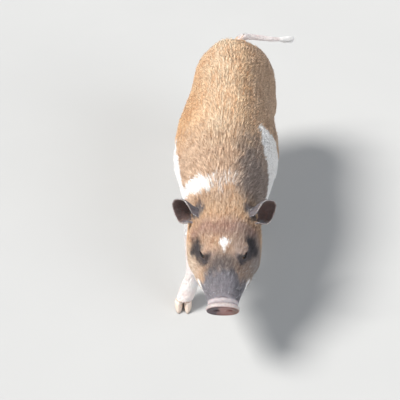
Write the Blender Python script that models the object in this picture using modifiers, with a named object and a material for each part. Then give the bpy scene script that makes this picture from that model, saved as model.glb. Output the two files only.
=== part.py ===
"""Young miniature pig, life size, standing in mid-stride with its head carried low.

Metres, +Z up. The pig faces -Y and its left side is towards +X. The origin is on the floor,
under the middle of the whole model. Lengths along the pig are stated as distances behind the
snout's end, and places on the head in the head's own frame, which starts there. The snout's disc
leans forward over that point at its top.
The flesh is modelled whole, fused and softened, and then parted with thin cuts.
"""

import math
import random
from typing import NamedTuple

import bmesh
import bpy
import numpy as np
from mathutils import Matrix, Vector
from mathutils.bvhtree import BVHTree

# Driving sizes of the animal.
SNOUT_Y = -0.2616
MIDLINE_X = -0.0151
SNOUT_HEIGHT = 0.112
HEAD_PITCH = math.radians(1.0)
JOINT_GAP = 0.0003
VOXEL = 0.0026
SOFTENING = 9

# Head and neck part here, and neck and trunk there, each on a plane that leans back at the top.
HEAD_CUT_BACK = 0.152
HEAD_CUT_LEAN = math.radians(7.0)
NECK_CUT_BACK = 0.186
NECK_CUT_LEAN = math.radians(14.0)
NECK_CUT_HEIGHT = 0.145

# Triangles that each fused piece keeps.
TORSO_TRIANGLES = 2650
NECK_TRIANGLES = 700
HEAD_TRIANGLES = 2450


class Section(NamedTuple):
    """One cross-section: its place along the form, its half width and three heights."""

    back: float
    half_width: float
    top: float
    wide: float
    bottom: float
    upper_power: float = 2.2
    lower_power: float = 2.2
    shift: float = 0.0


class Joint(NamedTuple):
    """One station of a limb: its centre, and its half sizes across the body and along it."""

    side: float
    back: float
    height: float
    across: float
    along: float


TRUNK = (
    Section(0.140, 0.051, 0.190, 0.130, 0.082),
    Section(0.172, 0.060, 0.207, 0.138, 0.083),
    Section(0.205, 0.068, 0.223, 0.142, 0.083),
    Section(0.245, 0.0770, 0.232, 0.142, 0.079),
    Section(0.285, 0.0850, 0.237, 0.140, 0.074),
    Section(0.325, 0.0840, 0.241, 0.140, 0.074, shift=0.001),
    Section(0.365, 0.0770, 0.245, 0.146, 0.081, shift=0.002),
    Section(0.405, 0.0720, 0.249, 0.154, 0.094, 2.1, shift=0.007),
    Section(0.440, 0.0720, 0.250, 0.160, 0.106, 2.1, shift=0.012),
    Section(0.470, 0.0700, 0.2470, 0.162, 0.121, 2.0, shift=0.012),
    Section(0.493, 0.060, 0.2360, 0.164, 0.132, 2.0, shift=0.010),
    Section(0.511, 0.045, 0.2210, 0.168, 0.143, 2.0, shift=0.008),
    Section(0.524, 0.024, 0.1970, 0.170, 0.156, 2.0, shift=0.007),
)

NECK = (
    Section(0.120, 0.051, 0.181, 0.118, 0.079),
    Section(0.150, 0.055, 0.194, 0.124, 0.078),
    Section(0.180, 0.060, 0.208, 0.131, 0.080),
    Section(0.215, 0.063, 0.222, 0.138, 0.085),
)

# In the head's frame: back from the snout's face, heights from the snout's centre.
SKULL = (
    Section(-0.005, 0.0205, 0.0140, -0.001, -0.0165, 2.0, 2.2),
    Section(0.003, 0.0208, 0.0152, -0.001, -0.0175, 2.0, 2.2),
    Section(0.012, 0.0215, 0.0170, -0.002, -0.0212, 2.0, 2.2),
    Section(0.025, 0.0240, 0.0205, -0.003, -0.0278, 2.0, 2.2),
    Section(0.042, 0.0285, 0.0275, -0.004, -0.0310, 2.1, 2.3),
    Section(0.058, 0.0360, 0.0375, -0.004, -0.0330, 2.2, 2.3),
    Section(0.074, 0.0440, 0.0500, -0.003, -0.0360, 2.3, 2.3),
    Section(0.092, 0.0520, 0.0620, -0.003, -0.0390, 2.4, 2.2),
    Section(0.112, 0.0560, 0.0730, -0.002, -0.0395, 2.5, 2.2),
    Section(0.134, 0.0560, 0.0800, 0.002, -0.0370, 2.4, 2.2),
    Section(0.155, 0.0530, 0.0830, 0.006, -0.0325, 2.3, 2.2),
)

FORE_RIGHT = (
    Joint(-0.0410, 0.182, 0.168, 0.0200, 0.0300),
    Joint(-0.0450, 0.186, 0.136, 0.0210, 0.0310),
    Joint(-0.0470, 0.180, 0.107, 0.0185, 0.0230),
    Joint(-0.0470, 0.161, 0.079, 0.0162, 0.0172),
    Joint(-0.0460, 0.141, 0.056, 0.0148, 0.0154),
    Joint(-0.0490, 0.128, 0.042, 0.0122, 0.0128),
    Joint(-0.0560, 0.115, 0.027, 0.0136, 0.0138),
    Joint(-0.0640, 0.101, 0.008, 0.0130, 0.0150),
)
FORE_LEFT = (
    Joint(0.040, 0.190, 0.170, 0.020, 0.030),
    Joint(0.044, 0.206, 0.138, 0.021, 0.032),
    Joint(0.044, 0.217, 0.112, 0.0190, 0.0240),
    Joint(0.0420, 0.224, 0.087, 0.0165, 0.0185),
    Joint(0.0405, 0.231, 0.063, 0.0150, 0.0160),
    Joint(0.0400, 0.242, 0.043, 0.0122, 0.0128),
    Joint(0.0395, 0.249, 0.027, 0.0136, 0.0138),
    Joint(0.0390, 0.243, 0.008, 0.0130, 0.0150),
)
HIND_RIGHT = (
    Joint(-0.020, 0.450, 0.186, 0.032, 0.050),
    Joint(-0.034, 0.450, 0.142, 0.031, 0.048),
    Joint(-0.042, 0.458, 0.110, 0.0205, 0.0290),
    Joint(-0.043, 0.476, 0.083, 0.0140, 0.0175),
    Joint(-0.043, 0.488, 0.066, 0.0130, 0.0150),
    Joint(-0.043, 0.491, 0.046, 0.0115, 0.0122),
    Joint(-0.043, 0.494, 0.027, 0.0134, 0.0136),
    Joint(-0.043, 0.486, 0.008, 0.0128, 0.0150),
)
HIND_LEFT = (
    Joint(0.040, 0.444, 0.186, 0.032, 0.052),
    Joint(0.054, 0.428, 0.142, 0.031, 0.048),
    Joint(0.056, 0.416, 0.110, 0.0205, 0.0280),
    Joint(0.055, 0.425, 0.085, 0.0140, 0.0175),
    Joint(0.054, 0.428, 0.068, 0.0130, 0.0150),
    Joint(0.053, 0.419, 0.046, 0.0115, 0.0122),
    Joint(0.053, 0.412, 0.027, 0.0134, 0.0136),
    Joint(0.053, 0.402, 0.008, 0.0128, 0.0150),
)
LEGS = {
    "foreleg_right": FORE_RIGHT,
    "foreleg_left": FORE_LEFT,
    "hindleg_right": HIND_RIGHT,
    "hindleg_left": HIND_LEFT,
}
# A leg parts from the body half way between its third station and its fourth.
LEG_PARTS_AFTER = 2
STUB = 0.008

# The foot: two claws side by side under a sloping coronet.
CLAW_HALF_WIDTH = 0.0063
CLAW_SPACING = 0.0070
SOLE_TOE = 0.0175
SOLE_HEEL = 0.0125
CORONET_TOE = 0.0080
CORONET_HEEL = 0.0125
CORONET_FRONT_HEIGHT = 0.0165
CORONET_HEEL_HEIGHT = 0.0085

# Face.
DISC_HALF_WIDTH = 0.0240
DISC_UP = 0.0180
DISC_DOWN = 0.0175
DISC_THICK = 0.0078
DISC_LEAN = math.radians(18.0)
DISC_BACK = -0.0010
DISC_HEIGHT = -0.0025
DISC_HOLLOW = 0.0016
NOSTRIL_SIDE = 0.0095
NOSTRIL_HALF = Vector((0.0052, 0.0062, 0.0036))
EYE_BACK = 0.0720
EYE_UP = 0.0375
EYE_RADIUS = 0.0092
EYE_DEPTH = 0.0082
LID_RADIUS = 0.0114
LID_OPENING = (0.0066, 0.0038)

# Ears: a rolled root that opens into a cup, seen in rows from root to tip.
EAR_ROOT = Vector((0.032, 0.136, 0.056))
EAR_AXIS = Vector((0.91, 0.17, 0.23))
EAR_FACING = Vector((0.30, -0.88, 0.26))
EAR_LENGTH = 0.048
EAR_SWEEP = 0.0100
EAR_THICK = 0.0026
EAR_HALF_SHEET = ((0.0, 0.025), (0.3, 0.029), (0.55, 0.028), (0.8, 0.0180), (0.93, 0.0095), (1.0, 0.003))
EAR_ROLL = ((0.0, 2.75), (0.28, 2.55), (0.44, 1.90), (0.6, 1.35), (0.8, 0.95), (1.0, 0.5))

# Tail, held out to the pig's left.
TAIL = (
    Joint(0.012, 0.492, 0.203, 0.0088, 0.0088),
    Joint(0.016, 0.508, 0.2135, 0.0074, 0.0074),
    Joint(0.026, 0.520, 0.2200, 0.0060, 0.0060),
    Joint(0.044, 0.524, 0.2170, 0.0050, 0.0050),
    Joint(0.060, 0.523, 0.2155, 0.0046, 0.0046),
    Joint(0.084, 0.521, 0.2140, 0.0040, 0.0040),
    Joint(0.104, 0.519, 0.2150, 0.0030, 0.0030),
    Joint(0.115, 0.518, 0.2160, 0.0010, 0.0010),
)

# The bristles that stand along poll, nape and back, and the tail's tuft, as flat locks.
LOCK_SEED = 11
LOCK_THICK = 0.0017
LOCK_CLEARANCE = 0.0012


class Band(NamedTuple):
    """A band of locks over the midline: its rows, its columns, and the size of a lock."""

    first_back: float
    last_back: float
    row_step: float
    half_width: float
    column_step: float
    length: float
    width: float
    lift: float


LOCK_BANDS = {
    "head": Band(0.112, 0.146, 0.0110, 0.0180, 0.0080, 0.0200, 0.0058, 0.0026),
    "neck": Band(0.156, 0.196, 0.0100, 0.0260, 0.0085, 0.0220, 0.0062, 0.0030),
    "torso": Band(0.200, 0.462, 0.0150, 0.0075, 0.0075, 0.0250, 0.0060, 0.0026),
}
TUFT_ROOT = (0.0840, 0.0980)
TUFT_LOCKS = 8
TUFT_LENGTH = 0.0210

COAT = (0.62, 0.38, 0.20)
PALE = (0.86, 0.76, 0.70)
SLATE = (0.20, 0.17, 0.17)
ROSE = (0.70, 0.45, 0.42)
HORN = (0.62, 0.55, 0.44)
EYE_BROWN = (0.035, 0.022, 0.015)


for leftover in list(bpy.data.objects):
    bpy.data.objects.remove(leftover)
PIG = bpy.data.collections.new("miniature_pig")
TOOLS = bpy.data.collections.new("cutters")
for collection in (PIG, TOOLS):
    bpy.context.scene.collection.children.link(collection)


def material(name, rgb, roughness):
    """A plain surface of one colour."""
    made = bpy.data.materials.new(name)
    made.use_nodes = True
    shader = made.node_tree.nodes["Principled BSDF"]
    shader.inputs["Base Color"].default_value = (*rgb, 1.0)
    shader.inputs["Roughness"].default_value = roughness
    shader.inputs["Metallic"].default_value = 0.0
    return made


SURFACES = {
    "coat": material("russet_coat", COAT, 0.8),
    "pale": material("pale_coat", PALE, 0.8),
    "slate": material("slate_skin", SLATE, 0.6),
    "rose": material("rose_skin", ROSE, 0.45),
    "horn": material("hoof_horn", HORN, 0.5),
    "eye": material("eye_brown", EYE_BROWN, 0.1),
}


def place(side, back, height):
    """A point given as distances from the midline, the snout's front and the floor."""
    return Vector((side + MIDLINE_X, back + SNOUT_Y, height))


def on_head(point):
    """A point of the head's frame: side, back from the snout, up from its centre."""
    side, back, up = point
    turned = Matrix.Rotation(HEAD_PITCH, 3, "X") @ Vector((0.0, back, up))
    return place(side, turned.y, SNOUT_HEIGHT + turned.z)


def head_direction(direction):
    """A direction of the head's frame, turned into the model's."""
    return (Matrix.Rotation(HEAD_PITCH, 3, "X") @ Vector(direction)).normalized()


def on_disc(across, depth, up):
    """A point of the snout's disc: across it, in from its front, and up its face."""
    lean_back = depth * math.cos(DISC_LEAN) - up * math.sin(DISC_LEAN)
    rise = depth * math.sin(DISC_LEAN) + up * math.cos(DISC_LEAN)
    return on_head((across, DISC_BACK + lean_back, DISC_HEIGHT + rise))


def add_object(name, mesh, collection=PIG, surface=None):
    """A new object for a mesh; without a surface it is a cutter or a raw form."""
    made = bpy.data.objects.new(name, mesh)
    collection.objects.link(made)
    if surface:
        mesh.materials.append(SURFACES[surface])
    if collection is TOOLS:
        made.hide_render = True
        made.display_type = "WIRE"
    return made


def from_bmesh(name, bm, collection=TOOLS, surface=None):
    """An object from a bmesh, with its faces turned outwards."""
    bmesh.ops.recalc_face_normals(bm, faces=bm.faces)
    if bm.calc_volume(signed=True) < 0:
        bmesh.ops.reverse_faces(bm, faces=bm.faces)
    mesh = bpy.data.meshes.new(name)
    bm.to_mesh(mesh)
    bm.free()
    return add_object(name, mesh, collection, surface)


def settle(obj):
    """Applies an object's modifiers."""
    evaluated = obj.evaluated_get(bpy.context.evaluated_depsgraph_get())
    mesh = bpy.data.meshes.new_from_object(evaluated)
    obj.modifiers.clear()
    obj.data = mesh
    return obj


def combine(obj, operation, cutter, solver="EXACT", keep=False):
    """One Boolean with an object or a whole collection, applied."""
    boolean = obj.modifiers.new(operation.lower(), "BOOLEAN")
    boolean.operation = operation
    boolean.solver = solver
    if isinstance(cutter, bpy.types.Collection):
        boolean.operand_type = "COLLECTION"
        boolean.collection = cutter
        used = list(cutter.objects)
    else:
        boolean.object = cutter
        used = [cutter]
    settle(obj)
    if not keep:
        for piece in used:
            bpy.data.objects.remove(piece)
    return obj


def largest_only(obj):
    """Keeps an object's largest closed surface."""
    bm = bmesh.new()
    bm.from_mesh(obj.data)
    left = set(bm.verts)
    islands = []
    while left:
        start = left.pop()
        island, edge_of_search = {start}, [start]
        while edge_of_search:
            for edge in edge_of_search.pop().link_edges:
                for vert in edge.verts:
                    if vert not in island:
                        island.add(vert)
                        edge_of_search.append(vert)
        left -= island
        islands.append(island)
    keep = max(islands, key=len)
    bmesh.ops.delete(bm, geom=[v for v in bm.verts if v not in keep], context="VERTS")
    bm.to_mesh(obj.data)
    bm.free()
    return obj


def copy_of(obj, name, collection=TOOLS):
    """A copy with a mesh of its own."""
    return add_object(name, obj.data.copy(), collection)


def grown(obj, name, amount):
    """A copy swollen by a small amount along its normals, to cut a neighbour with a gap."""
    copy = copy_of(obj, name)
    displace = copy.modifiers.new("swell", "DISPLACE")
    displace.mid_level = 0.0
    displace.strength = amount
    return settle(copy)


class Curve:
    """Rows of numbers read smoothly between the stated ones, with no overshoot."""

    def __init__(self, places, rows):
        self.places = np.array(places, float)
        self.rows = np.array(rows, float)
        steps = np.diff(self.places)[:, None]
        slopes = np.diff(self.rows, axis=0) / steps
        before, after = slopes[:-1], slopes[1:]
        same_way = before * after > 0
        total = np.where(same_way, before + after, 1.0)
        inner = np.where(same_way, 2 * before * after / total, 0.0)
        self.slopes = np.vstack([slopes[:1], inner, slopes[-1:]])

    def at(self, place_along):
        index = int(np.clip(np.searchsorted(self.places, place_along) - 1, 0, len(self.places) - 2))
        step = self.places[index + 1] - self.places[index]
        t = (place_along - self.places[index]) / step
        return (
            self.rows[index] * (1 + 2 * t) * (1 - t) ** 2
            + self.rows[index + 1] * t * t * (3 - 2 * t)
            + self.slopes[index] * step * t * (1 - t) ** 2
            - self.slopes[index + 1] * step * t * t * (1 - t)
        )


def section_curve(sections):
    """The sections of a form as one smooth curve of sections."""
    return Curve([s.back for s in sections], sections)


def rounded(angle, width, rise, drop, upper_power, lower_power):
    """A point of an egg-shaped outline: a superellipse with its own upper and lower halves."""
    c, s = math.cos(angle), math.sin(angle)
    power = 2.0 / (upper_power if s >= 0 else lower_power)
    height = rise if s >= 0 else drop
    return (
        width * math.copysign(abs(c) ** power, c),
        height * math.copysign(abs(s) ** power, s),
    )


def skin_rings(bm, rings):
    """Joins rings of vertices into a closed tube with both ends filled."""
    for ring, following in zip(rings, rings[1:]):
        for k, vert in enumerate(ring):
            nxt = (k + 1) % len(ring)
            bm.faces.new((vert, ring[nxt], following[nxt], following[k]))
    bm.faces.new(reversed(rings[0]))
    bm.faces.new(rings[-1])


def loft(bm, sections, to_model, sides=40, rings=44):
    """A closed form through upright sections."""
    curve = section_curve(sections)
    made = []
    for back in np.linspace(curve.places[0], curve.places[-1], rings):
        section = Section(*curve.at(back))
        ring = []
        for k in range(sides):
            across, up = rounded(
                math.tau * k / sides,
                section.half_width,
                section.top - section.wide,
                section.wide - section.bottom,
                section.upper_power,
                section.lower_power,
            )
            point = (across + section.shift, section.back, section.wide + up)
            ring.append(bm.verts.new(to_model(point)))
        made.append(ring)
    skin_rings(bm, made)


def limb_path(joints):
    """The smooth centre line of a limb with its half sizes, by distance along it."""
    centres = [place(j.side, j.back, j.height) for j in joints]
    lengths = [0.0]
    for a, b in zip(centres, centres[1:]):
        lengths.append(lengths[-1] + (b - a).length)
    return Curve(lengths, [(*c, j.across, j.along) for c, j in zip(centres, joints)])


def limb(bm, joints, start=None, end=None, swell=0.0, sides=24, rings=26):
    """A closed limb with oval sections square to its centre line, or a length of one."""
    path = limb_path(joints)
    start = path.places[0] if start is None else start
    end = path.places[-1] if end is None else end
    made = []
    for along in np.linspace(start, end, rings):
        x, y, z, across, depth = path.at(along)
        ahead = Vector(path.at(min(along + 0.010, path.places[-1]))[:3])
        behind = Vector(path.at(max(along - 0.010, 0.0))[:3])
        line = (ahead - behind).normalized()
        sideways = (Vector((1, 0, 0)) - line * line.x).normalized()
        forward = line.cross(sideways)
        ring = []
        for k in range(sides):
            a, b = rounded(math.tau * k / sides, across + swell, depth + swell, depth + swell, 2.2, 2.2)
            ring.append(bm.verts.new(Vector((x, y, z)) + sideways * a + forward * b))
        made.append(ring)
    skin_rings(bm, made)


def leg_parting(joints):
    """How far along a leg's centre line it parts from the body."""
    places = limb_path(joints).places
    return (places[LEG_PARTS_AFTER] + places[LEG_PARTS_AFTER + 1]) / 2


def ball(bm, centre, half_sizes, turn=None, segments=20):
    """An ellipsoid, turned about its centre."""
    matrix = Matrix.Translation(centre) @ (turn or Matrix.Identity(4))
    matrix = matrix @ Matrix.Diagonal((*half_sizes, 1.0))
    bmesh.ops.create_uvsphere(bm, u_segments=segments, v_segments=segments // 2, radius=1.0, matrix=matrix)


def tube_along(bm, points, radii, sides=10):
    """A closed tube through a line of points."""
    made = []
    for index, (point, radius) in enumerate(zip(points, radii)):
        line = points[min(index + 1, len(points) - 1)] - points[max(index - 1, 0)]
        line.normalize()
        first = line.orthogonal().normalized() if index == 0 else made_side
        made_side = (first - line * first.dot(line)).normalized()
        other = line.cross(made_side)
        made.append([
            bm.verts.new(
                point
                + made_side * radius * math.cos(math.tau * k / sides)
                + other * radius * math.sin(math.tau * k / sides)
            )
            for k in range(sides)
        ])
    skin_rings(bm, made)


def half_space(name, point, normal, size=1.2):
    """A great box that fills the side of a plane that its normal points away from."""
    bm = bmesh.new()
    bmesh.ops.create_cube(bm, size=size)
    turn = Vector(normal).to_track_quat("Z", "Y").to_matrix().to_4x4()
    centre = Vector(point) - Vector(normal).normalized() * size / 2
    bmesh.ops.transform(bm, matrix=Matrix.Translation(centre) @ turn, verts=bm.verts)
    return from_bmesh(name, bm)


SKULL_CURVE = section_curve(SKULL)


def cheek(back, up):
    """How far from the midline the head's surface is, at a place on its side."""
    section = Section(*SKULL_CURVE.at(back))
    above = up >= section.wide
    span = section.top - section.wide if above else section.wide - section.bottom
    power = section.upper_power if above else section.lower_power
    share = min(abs(up - section.wide) / span, 1.0)
    return section.half_width * (1 - share**power) ** (1 / power)


def mouth_line(side, sink=0.0):
    """Points along one half of the mouth, from under the disc to the corner in the cheek."""
    points = []
    for back, up in zip(np.linspace(0.016, 0.074, 12), mouth_heights(12)):
        points.append(on_head((side * (cheek(back, up) - sink), back, up)))
    return points


def mouth_heights(count):
    """The lips run level below the snout, dip a little, and rise to the corner."""
    t = np.linspace(0, 1, count)
    return -0.0185 - 0.0050 * np.sin(t * math.pi) + 0.0090 * t**3


def whole_flesh():
    """Trunk, neck, head and legs as one soft surface."""
    bm = bmesh.new()
    loft(bm, TRUNK, lambda p: place(*p), rings=56)
    loft(bm, NECK, lambda p: place(*p), rings=20)
    loft(bm, SKULL, on_head, rings=52)
    for joints in LEGS.values():
        limb(bm, joints, end=leg_parting(joints) + STUB, rings=20)
    for side in (-1, 1):
        # Brow, cheek pad and lip rolls give the face its relief.
        ball(bm, on_head((side * 0.026, 0.084, 0.0425)), (0.012, 0.019, 0.009))
        ball(bm, on_head((side * 0.034, 0.108, -0.012)), (0.021, 0.028, 0.026))
        ball(bm, on_head((side * 0.031, 0.136, 0.054)), (0.013, 0.016, 0.016))
        lips = mouth_line(side, sink=0.0035)
        count = len(lips)
        upper = [p + Vector((0, 0, 0.0050)) for p in lips]
        lower = [p - Vector((0, 0, 0.0046)) for p in lips]
        tube_along(bm, upper, [0.0052 - 0.0020 * k / count for k in range(count)])
        tube_along(bm, lower, [0.0026 + 0.0016 * math.sin(math.pi * k / count) for k in range(count)])
    flesh = from_bmesh("flesh", bm)
    remesh = flesh.modifiers.new("fuse", "REMESH")
    remesh.mode = "VOXEL"
    remesh.voxel_size = VOXEL
    soften = flesh.modifiers.new("soften", "SMOOTH")
    soften.factor = 0.5
    soften.iterations = SOFTENING
    settle(flesh)
    return largest_only(flesh)


def thin_out(obj, triangles):
    """Reduces a dense surface to about the stated number of triangles."""
    obj.data.calc_loop_triangles()
    decimate = obj.modifiers.new("thin_out", "DECIMATE")
    decimate.ratio = min(1.0, triangles / len(obj.data.loop_triangles))
    decimate.use_collapse_triangulate = True
    return settle(obj)


def lean(angle):
    """The normal of an upright cut that leans back at the top by an angle."""
    return Vector((0, math.cos(angle), -math.sin(angle)))


def head_cut(offset):
    """A point and normal of the cut behind the head, moved back by an offset."""
    normal = lean(HEAD_CUT_LEAN)
    return on_head((0, HEAD_CUT_BACK, 0.02)) + normal * offset, normal


def neck_cut(offset):
    """A point and normal of the cut in front of the shoulders, moved back by an offset."""
    normal = lean(NECK_CUT_LEAN)
    return place(0, NECK_CUT_BACK, NECK_CUT_HEIGHT) + normal * offset, normal


def muzzle_cut(offset):
    """A point and normal of the cut behind the snout's disc, moved back by an offset."""
    depth = DISC_THICK + JOINT_GAP / 2 + offset
    return on_disc(0, depth, 0), head_direction((0, math.cos(DISC_LEAN), math.sin(DISC_LEAN)))


def slab(name, front, back):
    """What lies between two cuts: in front of one, behind the other, or one alone."""
    if back is None:
        return half_space(name, front[0], -front[1])
    region = half_space(name, *back)
    if front is not None:
        combine(region, "INTERSECT", half_space(name + "_front", front[0], -front[1]))
    return region


def parted(flesh):
    """The fused flesh as separate nodes with thin gaps between them."""
    margin, half_gap = 0.008, JOINT_GAP / 2
    nodes = {}
    regions = {
        "head": (muzzle_cut, head_cut, HEAD_TRIANGLES),
        "neck": (head_cut, neck_cut, NECK_TRIANGLES),
        "torso": (neck_cut, None, TORSO_TRIANGLES),
    }
    for name, (front, back, triangles) in regions.items():
        node = copy_of(flesh, name, PIG)
        loose = slab("loose", front(-margin), back and back(margin))
        combine(node, "INTERSECT", loose, solver="MANIFOLD")
        thin_out(node, triangles)
        exact = slab("exact", front(half_gap), back and back(-half_gap))
        combine(node, "INTERSECT", exact)
        nodes[name] = node
    for name, joints in LEGS.items():
        parting = leg_parting(joints)
        bm = bmesh.new()
        limb(bm, joints, start=parting, sides=16, rings=20)
        nodes[name] = from_bmesh(name, bm, PIG)
        for body in ("torso", "neck"):
            bm = bmesh.new()
            limb(bm, joints, start=parting - JOINT_GAP, swell=JOINT_GAP, sides=16, rings=20)
            combine(nodes[body], "DIFFERENCE", from_bmesh("socket", bm), solver="MANIFOLD")
    bpy.data.objects.remove(flesh)
    for body in ("head", "neck", "torso"):
        largest_only(nodes[body])
    return nodes


def eye_frame(side):
    """An eye's centre and the direction that it looks in, both in the model's frame."""
    looking = head_direction((side * 0.76, -0.48, 0.44))
    surface = on_head((side * cheek(EYE_BACK, EYE_UP), EYE_BACK, EYE_UP))
    return surface - looking * EYE_DEPTH, looking


def almond(name, centre, looking, side):
    """The opening between the lids: a lens-shaped prism, its inner corner low and forward."""
    half_long, half_high = LID_OPENING
    corner = head_direction((side * 0.38, 0.80, 0.42))
    along = (corner - looking * corner.dot(looking)).normalized()
    up = looking.cross(along)
    bm = bmesh.new()
    count = 16
    rings = []
    for depth in (0.002, 0.020):
        ring = []
        for k in range(count):
            t = math.tau * k / count
            offset = along * half_long * math.cos(t) + up * half_high * math.sin(t) * abs(math.sin(t)) ** 0.4
            ring.append(bm.verts.new(centre + looking * depth + offset))
        rings.append(ring)
    skin_rings(bm, rings)
    return from_bmesh(name, bm)


def add_eyes(head):
    """Lids that swell over each eyeball, their opening, and the eyeballs themselves."""
    for side, label in ((-1, "right"), (1, "left")):
        centre, looking = eye_frame(side)
        turn = looking.to_track_quat("Z", "Y").to_matrix().to_4x4()
        bm = bmesh.new()
        ball(bm, centre, (LID_RADIUS,) * 3, turn, segments=20)
        combine(head, "UNION", from_bmesh("lids", bm))
        bm = bmesh.new()
        ball(bm, centre, (EYE_RADIUS + JOINT_GAP,) * 3, turn, segments=18)
        socket = from_bmesh("socket", bm)
        combine(socket, "UNION", almond("opening", centre, looking, side))
        combine(head, "DIFFERENCE", socket)
        bm = bmesh.new()
        ball(bm, centre, (EYE_RADIUS,) * 3, turn, segments=18)
        eye = from_bmesh(f"eye_{label}", bm, PIG, "eye")
        eye.data.shade_smooth()
    largest_only(head)


def cut_mouth(head):
    """The line of the mouth, a groove along both lips that meets under the snout."""
    left, right = mouth_line(1), mouth_line(-1)
    chin = on_head((0, 0.0145, -0.0215))
    points = left[::-1] + [chin] + right
    radii = [0.0012 + 0.0008 * min(1.0, k / 4, (len(points) - 1 - k) / 4) for k in range(len(points))]
    bm = bmesh.new()
    tube_along(bm, points, radii, sides=6)
    combine(head, "DIFFERENCE", from_bmesh("mouth", bm))
    largest_only(head)


def snout_disc():
    """The flat round end of the snout, with a rolled rim and two nostrils."""
    bm = bmesh.new()
    profile = ((DISC_HOLLOW, 0.50), (DISC_HOLLOW * 0.8, 0.76), (0.0001, 0.87), (0.0006, 0.95),
               (0.0026, 1.0), (0.0052, 0.99), (0.0070, 0.93), (DISC_THICK, 0.84))
    rings = []
    for depth, share in profile:
        ring = []
        for k in range(32):
            across, up = rounded(
                math.tau * k / 32, DISC_HALF_WIDTH * share, DISC_UP * share, DISC_DOWN * share, 2.15, 2.3
            )
            ring.append(bm.verts.new(on_disc(across, depth, up)))
        rings.append(ring)
    skin_rings(bm, rings)
    disc = from_bmesh("snout_disc", bm, PIG, "rose")
    for side in (-1, 1):
        bm = bmesh.new()
        turn = Matrix.Rotation(DISC_LEAN, 4, "X") @ Matrix.Rotation(side * math.radians(18), 4, "Z")
        ball(bm, on_disc(side * NOSTRIL_SIDE, 0.0012, 0.0005), NOSTRIL_HALF, turn, segments=14)
        combine(disc, "DIFFERENCE", from_bmesh("nostril", bm))
    return largest_only(disc)


def ear(side, label, head):
    """A cupped ear: a sheet rolled at the root that opens towards a rounded tip."""
    root = on_head((side * EAR_ROOT.x, EAR_ROOT.y, EAR_ROOT.z))
    axis = head_direction((side * EAR_AXIS.x, EAR_AXIS.y, EAR_AXIS.z))
    facing = head_direction((side * EAR_FACING.x, EAR_FACING.y, EAR_FACING.z))
    facing = (facing - axis * facing.dot(axis)).normalized()
    across = axis.cross(facing) * side
    upward = across if across.z > 0 else -across
    rows, columns = 12, 12
    widths = Curve([t for t, _ in EAR_HALF_SHEET], [[w] for _, w in EAR_HALF_SHEET])
    rolls = Curve([t for t, _ in EAR_ROLL], [[r] for _, r in EAR_ROLL])
    bm = bmesh.new()
    grid = []
    for i in range(rows + 1):
        t = i / rows
        roll = rolls.at(t)[0]
        radius = widths.at(t)[0] / roll
        spine = root + axis * EAR_LENGTH * t + facing * (0.010 * t**2 - 0.004)
        spine += upward * EAR_SWEEP * (t**2 - 0.25)
        line = []
        for j in range(columns + 1):
            angle = roll * (2 * j / columns - 1)
            line.append(bm.verts.new(
                spine + across * radius * math.sin(angle) + facing * radius * (1 - math.cos(angle))
            ))
        grid.append(line)
    for line, following in zip(grid, grid[1:]):
        for j in range(columns):
            bm.faces.new((line[j], line[j + 1], following[j + 1], following[j]))
    mesh = bpy.data.meshes.new(f"ear_{label}")
    bm.to_mesh(mesh)
    bm.free()
    made = add_object(f"ear_{label}", mesh, PIG, "slate")
    shell = made.modifiers.new("thickness", "SOLIDIFY")
    shell.thickness = EAR_THICK
    shell.offset = 0.0
    settle(made)
    combine(made, "DIFFERENCE", grown(head, "head_swollen", JOINT_GAP))
    return largest_only(made)


def claw(name, centre, side):
    """One claw of a foot: a flat sole, a pointed toe and a wall that leans back to the coronet."""
    bm = bmesh.new()
    rings = []
    count = 14
    for share in (0.0, 0.12, 0.55, 1.0):
        toe = SOLE_TOE + (CORONET_TOE - SOLE_TOE) * share
        heel = SOLE_HEEL + (CORONET_HEEL - SOLE_HEEL) * share
        width = CLAW_HALF_WIDTH * (0.93 if share == 0 else 1.0)
        ring = []
        for k in range(count):
            t = math.tau * k / count
            forward = math.cos(t)
            reach = toe if forward > 0 else heel
            across = width * math.sin(t) * (1 - 0.30 * max(0.0, forward) ** 2)
            back = -forward * reach * (0.97 if share == 0 else 1.0)
            slope = (back + CORONET_TOE) / (CORONET_TOE + CORONET_HEEL)
            coronet = CORONET_FRONT_HEIGHT + (CORONET_HEEL_HEIGHT - CORONET_FRONT_HEIGHT) * slope
            ring.append(bm.verts.new(
                Vector((centre.x + side * CLAW_SPACING + across, centre.y + back, share * coronet))
            ))
        rings.append(ring)
    skin_rings(bm, rings)
    return from_bmesh(name, bm, PIG, "horn")


def finish_foot(leg, name, joints):
    """Trims the leg on the coronet, sets two claws under it and two dewclaws behind the pastern."""
    foot = joints[-1]
    centre = place(foot.side, foot.back, 0.0)
    length = CORONET_TOE + CORONET_HEEL
    slope = Vector((0, CORONET_FRONT_HEIGHT - CORONET_HEEL_HEIGHT, length)).normalized()
    front = centre + Vector((0, -CORONET_TOE, CORONET_FRONT_HEIGHT + JOINT_GAP))
    fetlock = joints[-2]
    bm = bmesh.new()
    for side in (-1, 1):
        start = place(fetlock.side + side * 0.0068, fetlock.back + 0.009, fetlock.height + 0.003)
        end = start + Vector((side * 0.0012, 0.0105, -0.0085))
        tube_along(bm, [start, start.lerp(end, 0.55), end], [0.0050, 0.0042, 0.0016], sides=8)
    dewclaws = from_bmesh("dewclaws", bm)
    combine(leg, "UNION", dewclaws)
    combine(leg, "DIFFERENCE", half_space("below", front, slope, size=0.2))
    largest_only(leg)
    outward = math.copysign(1, foot.side)
    claw(f"claw_{name}_outer", centre, outward)
    claw(f"claw_{name}_inner", centre, -outward)


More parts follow.
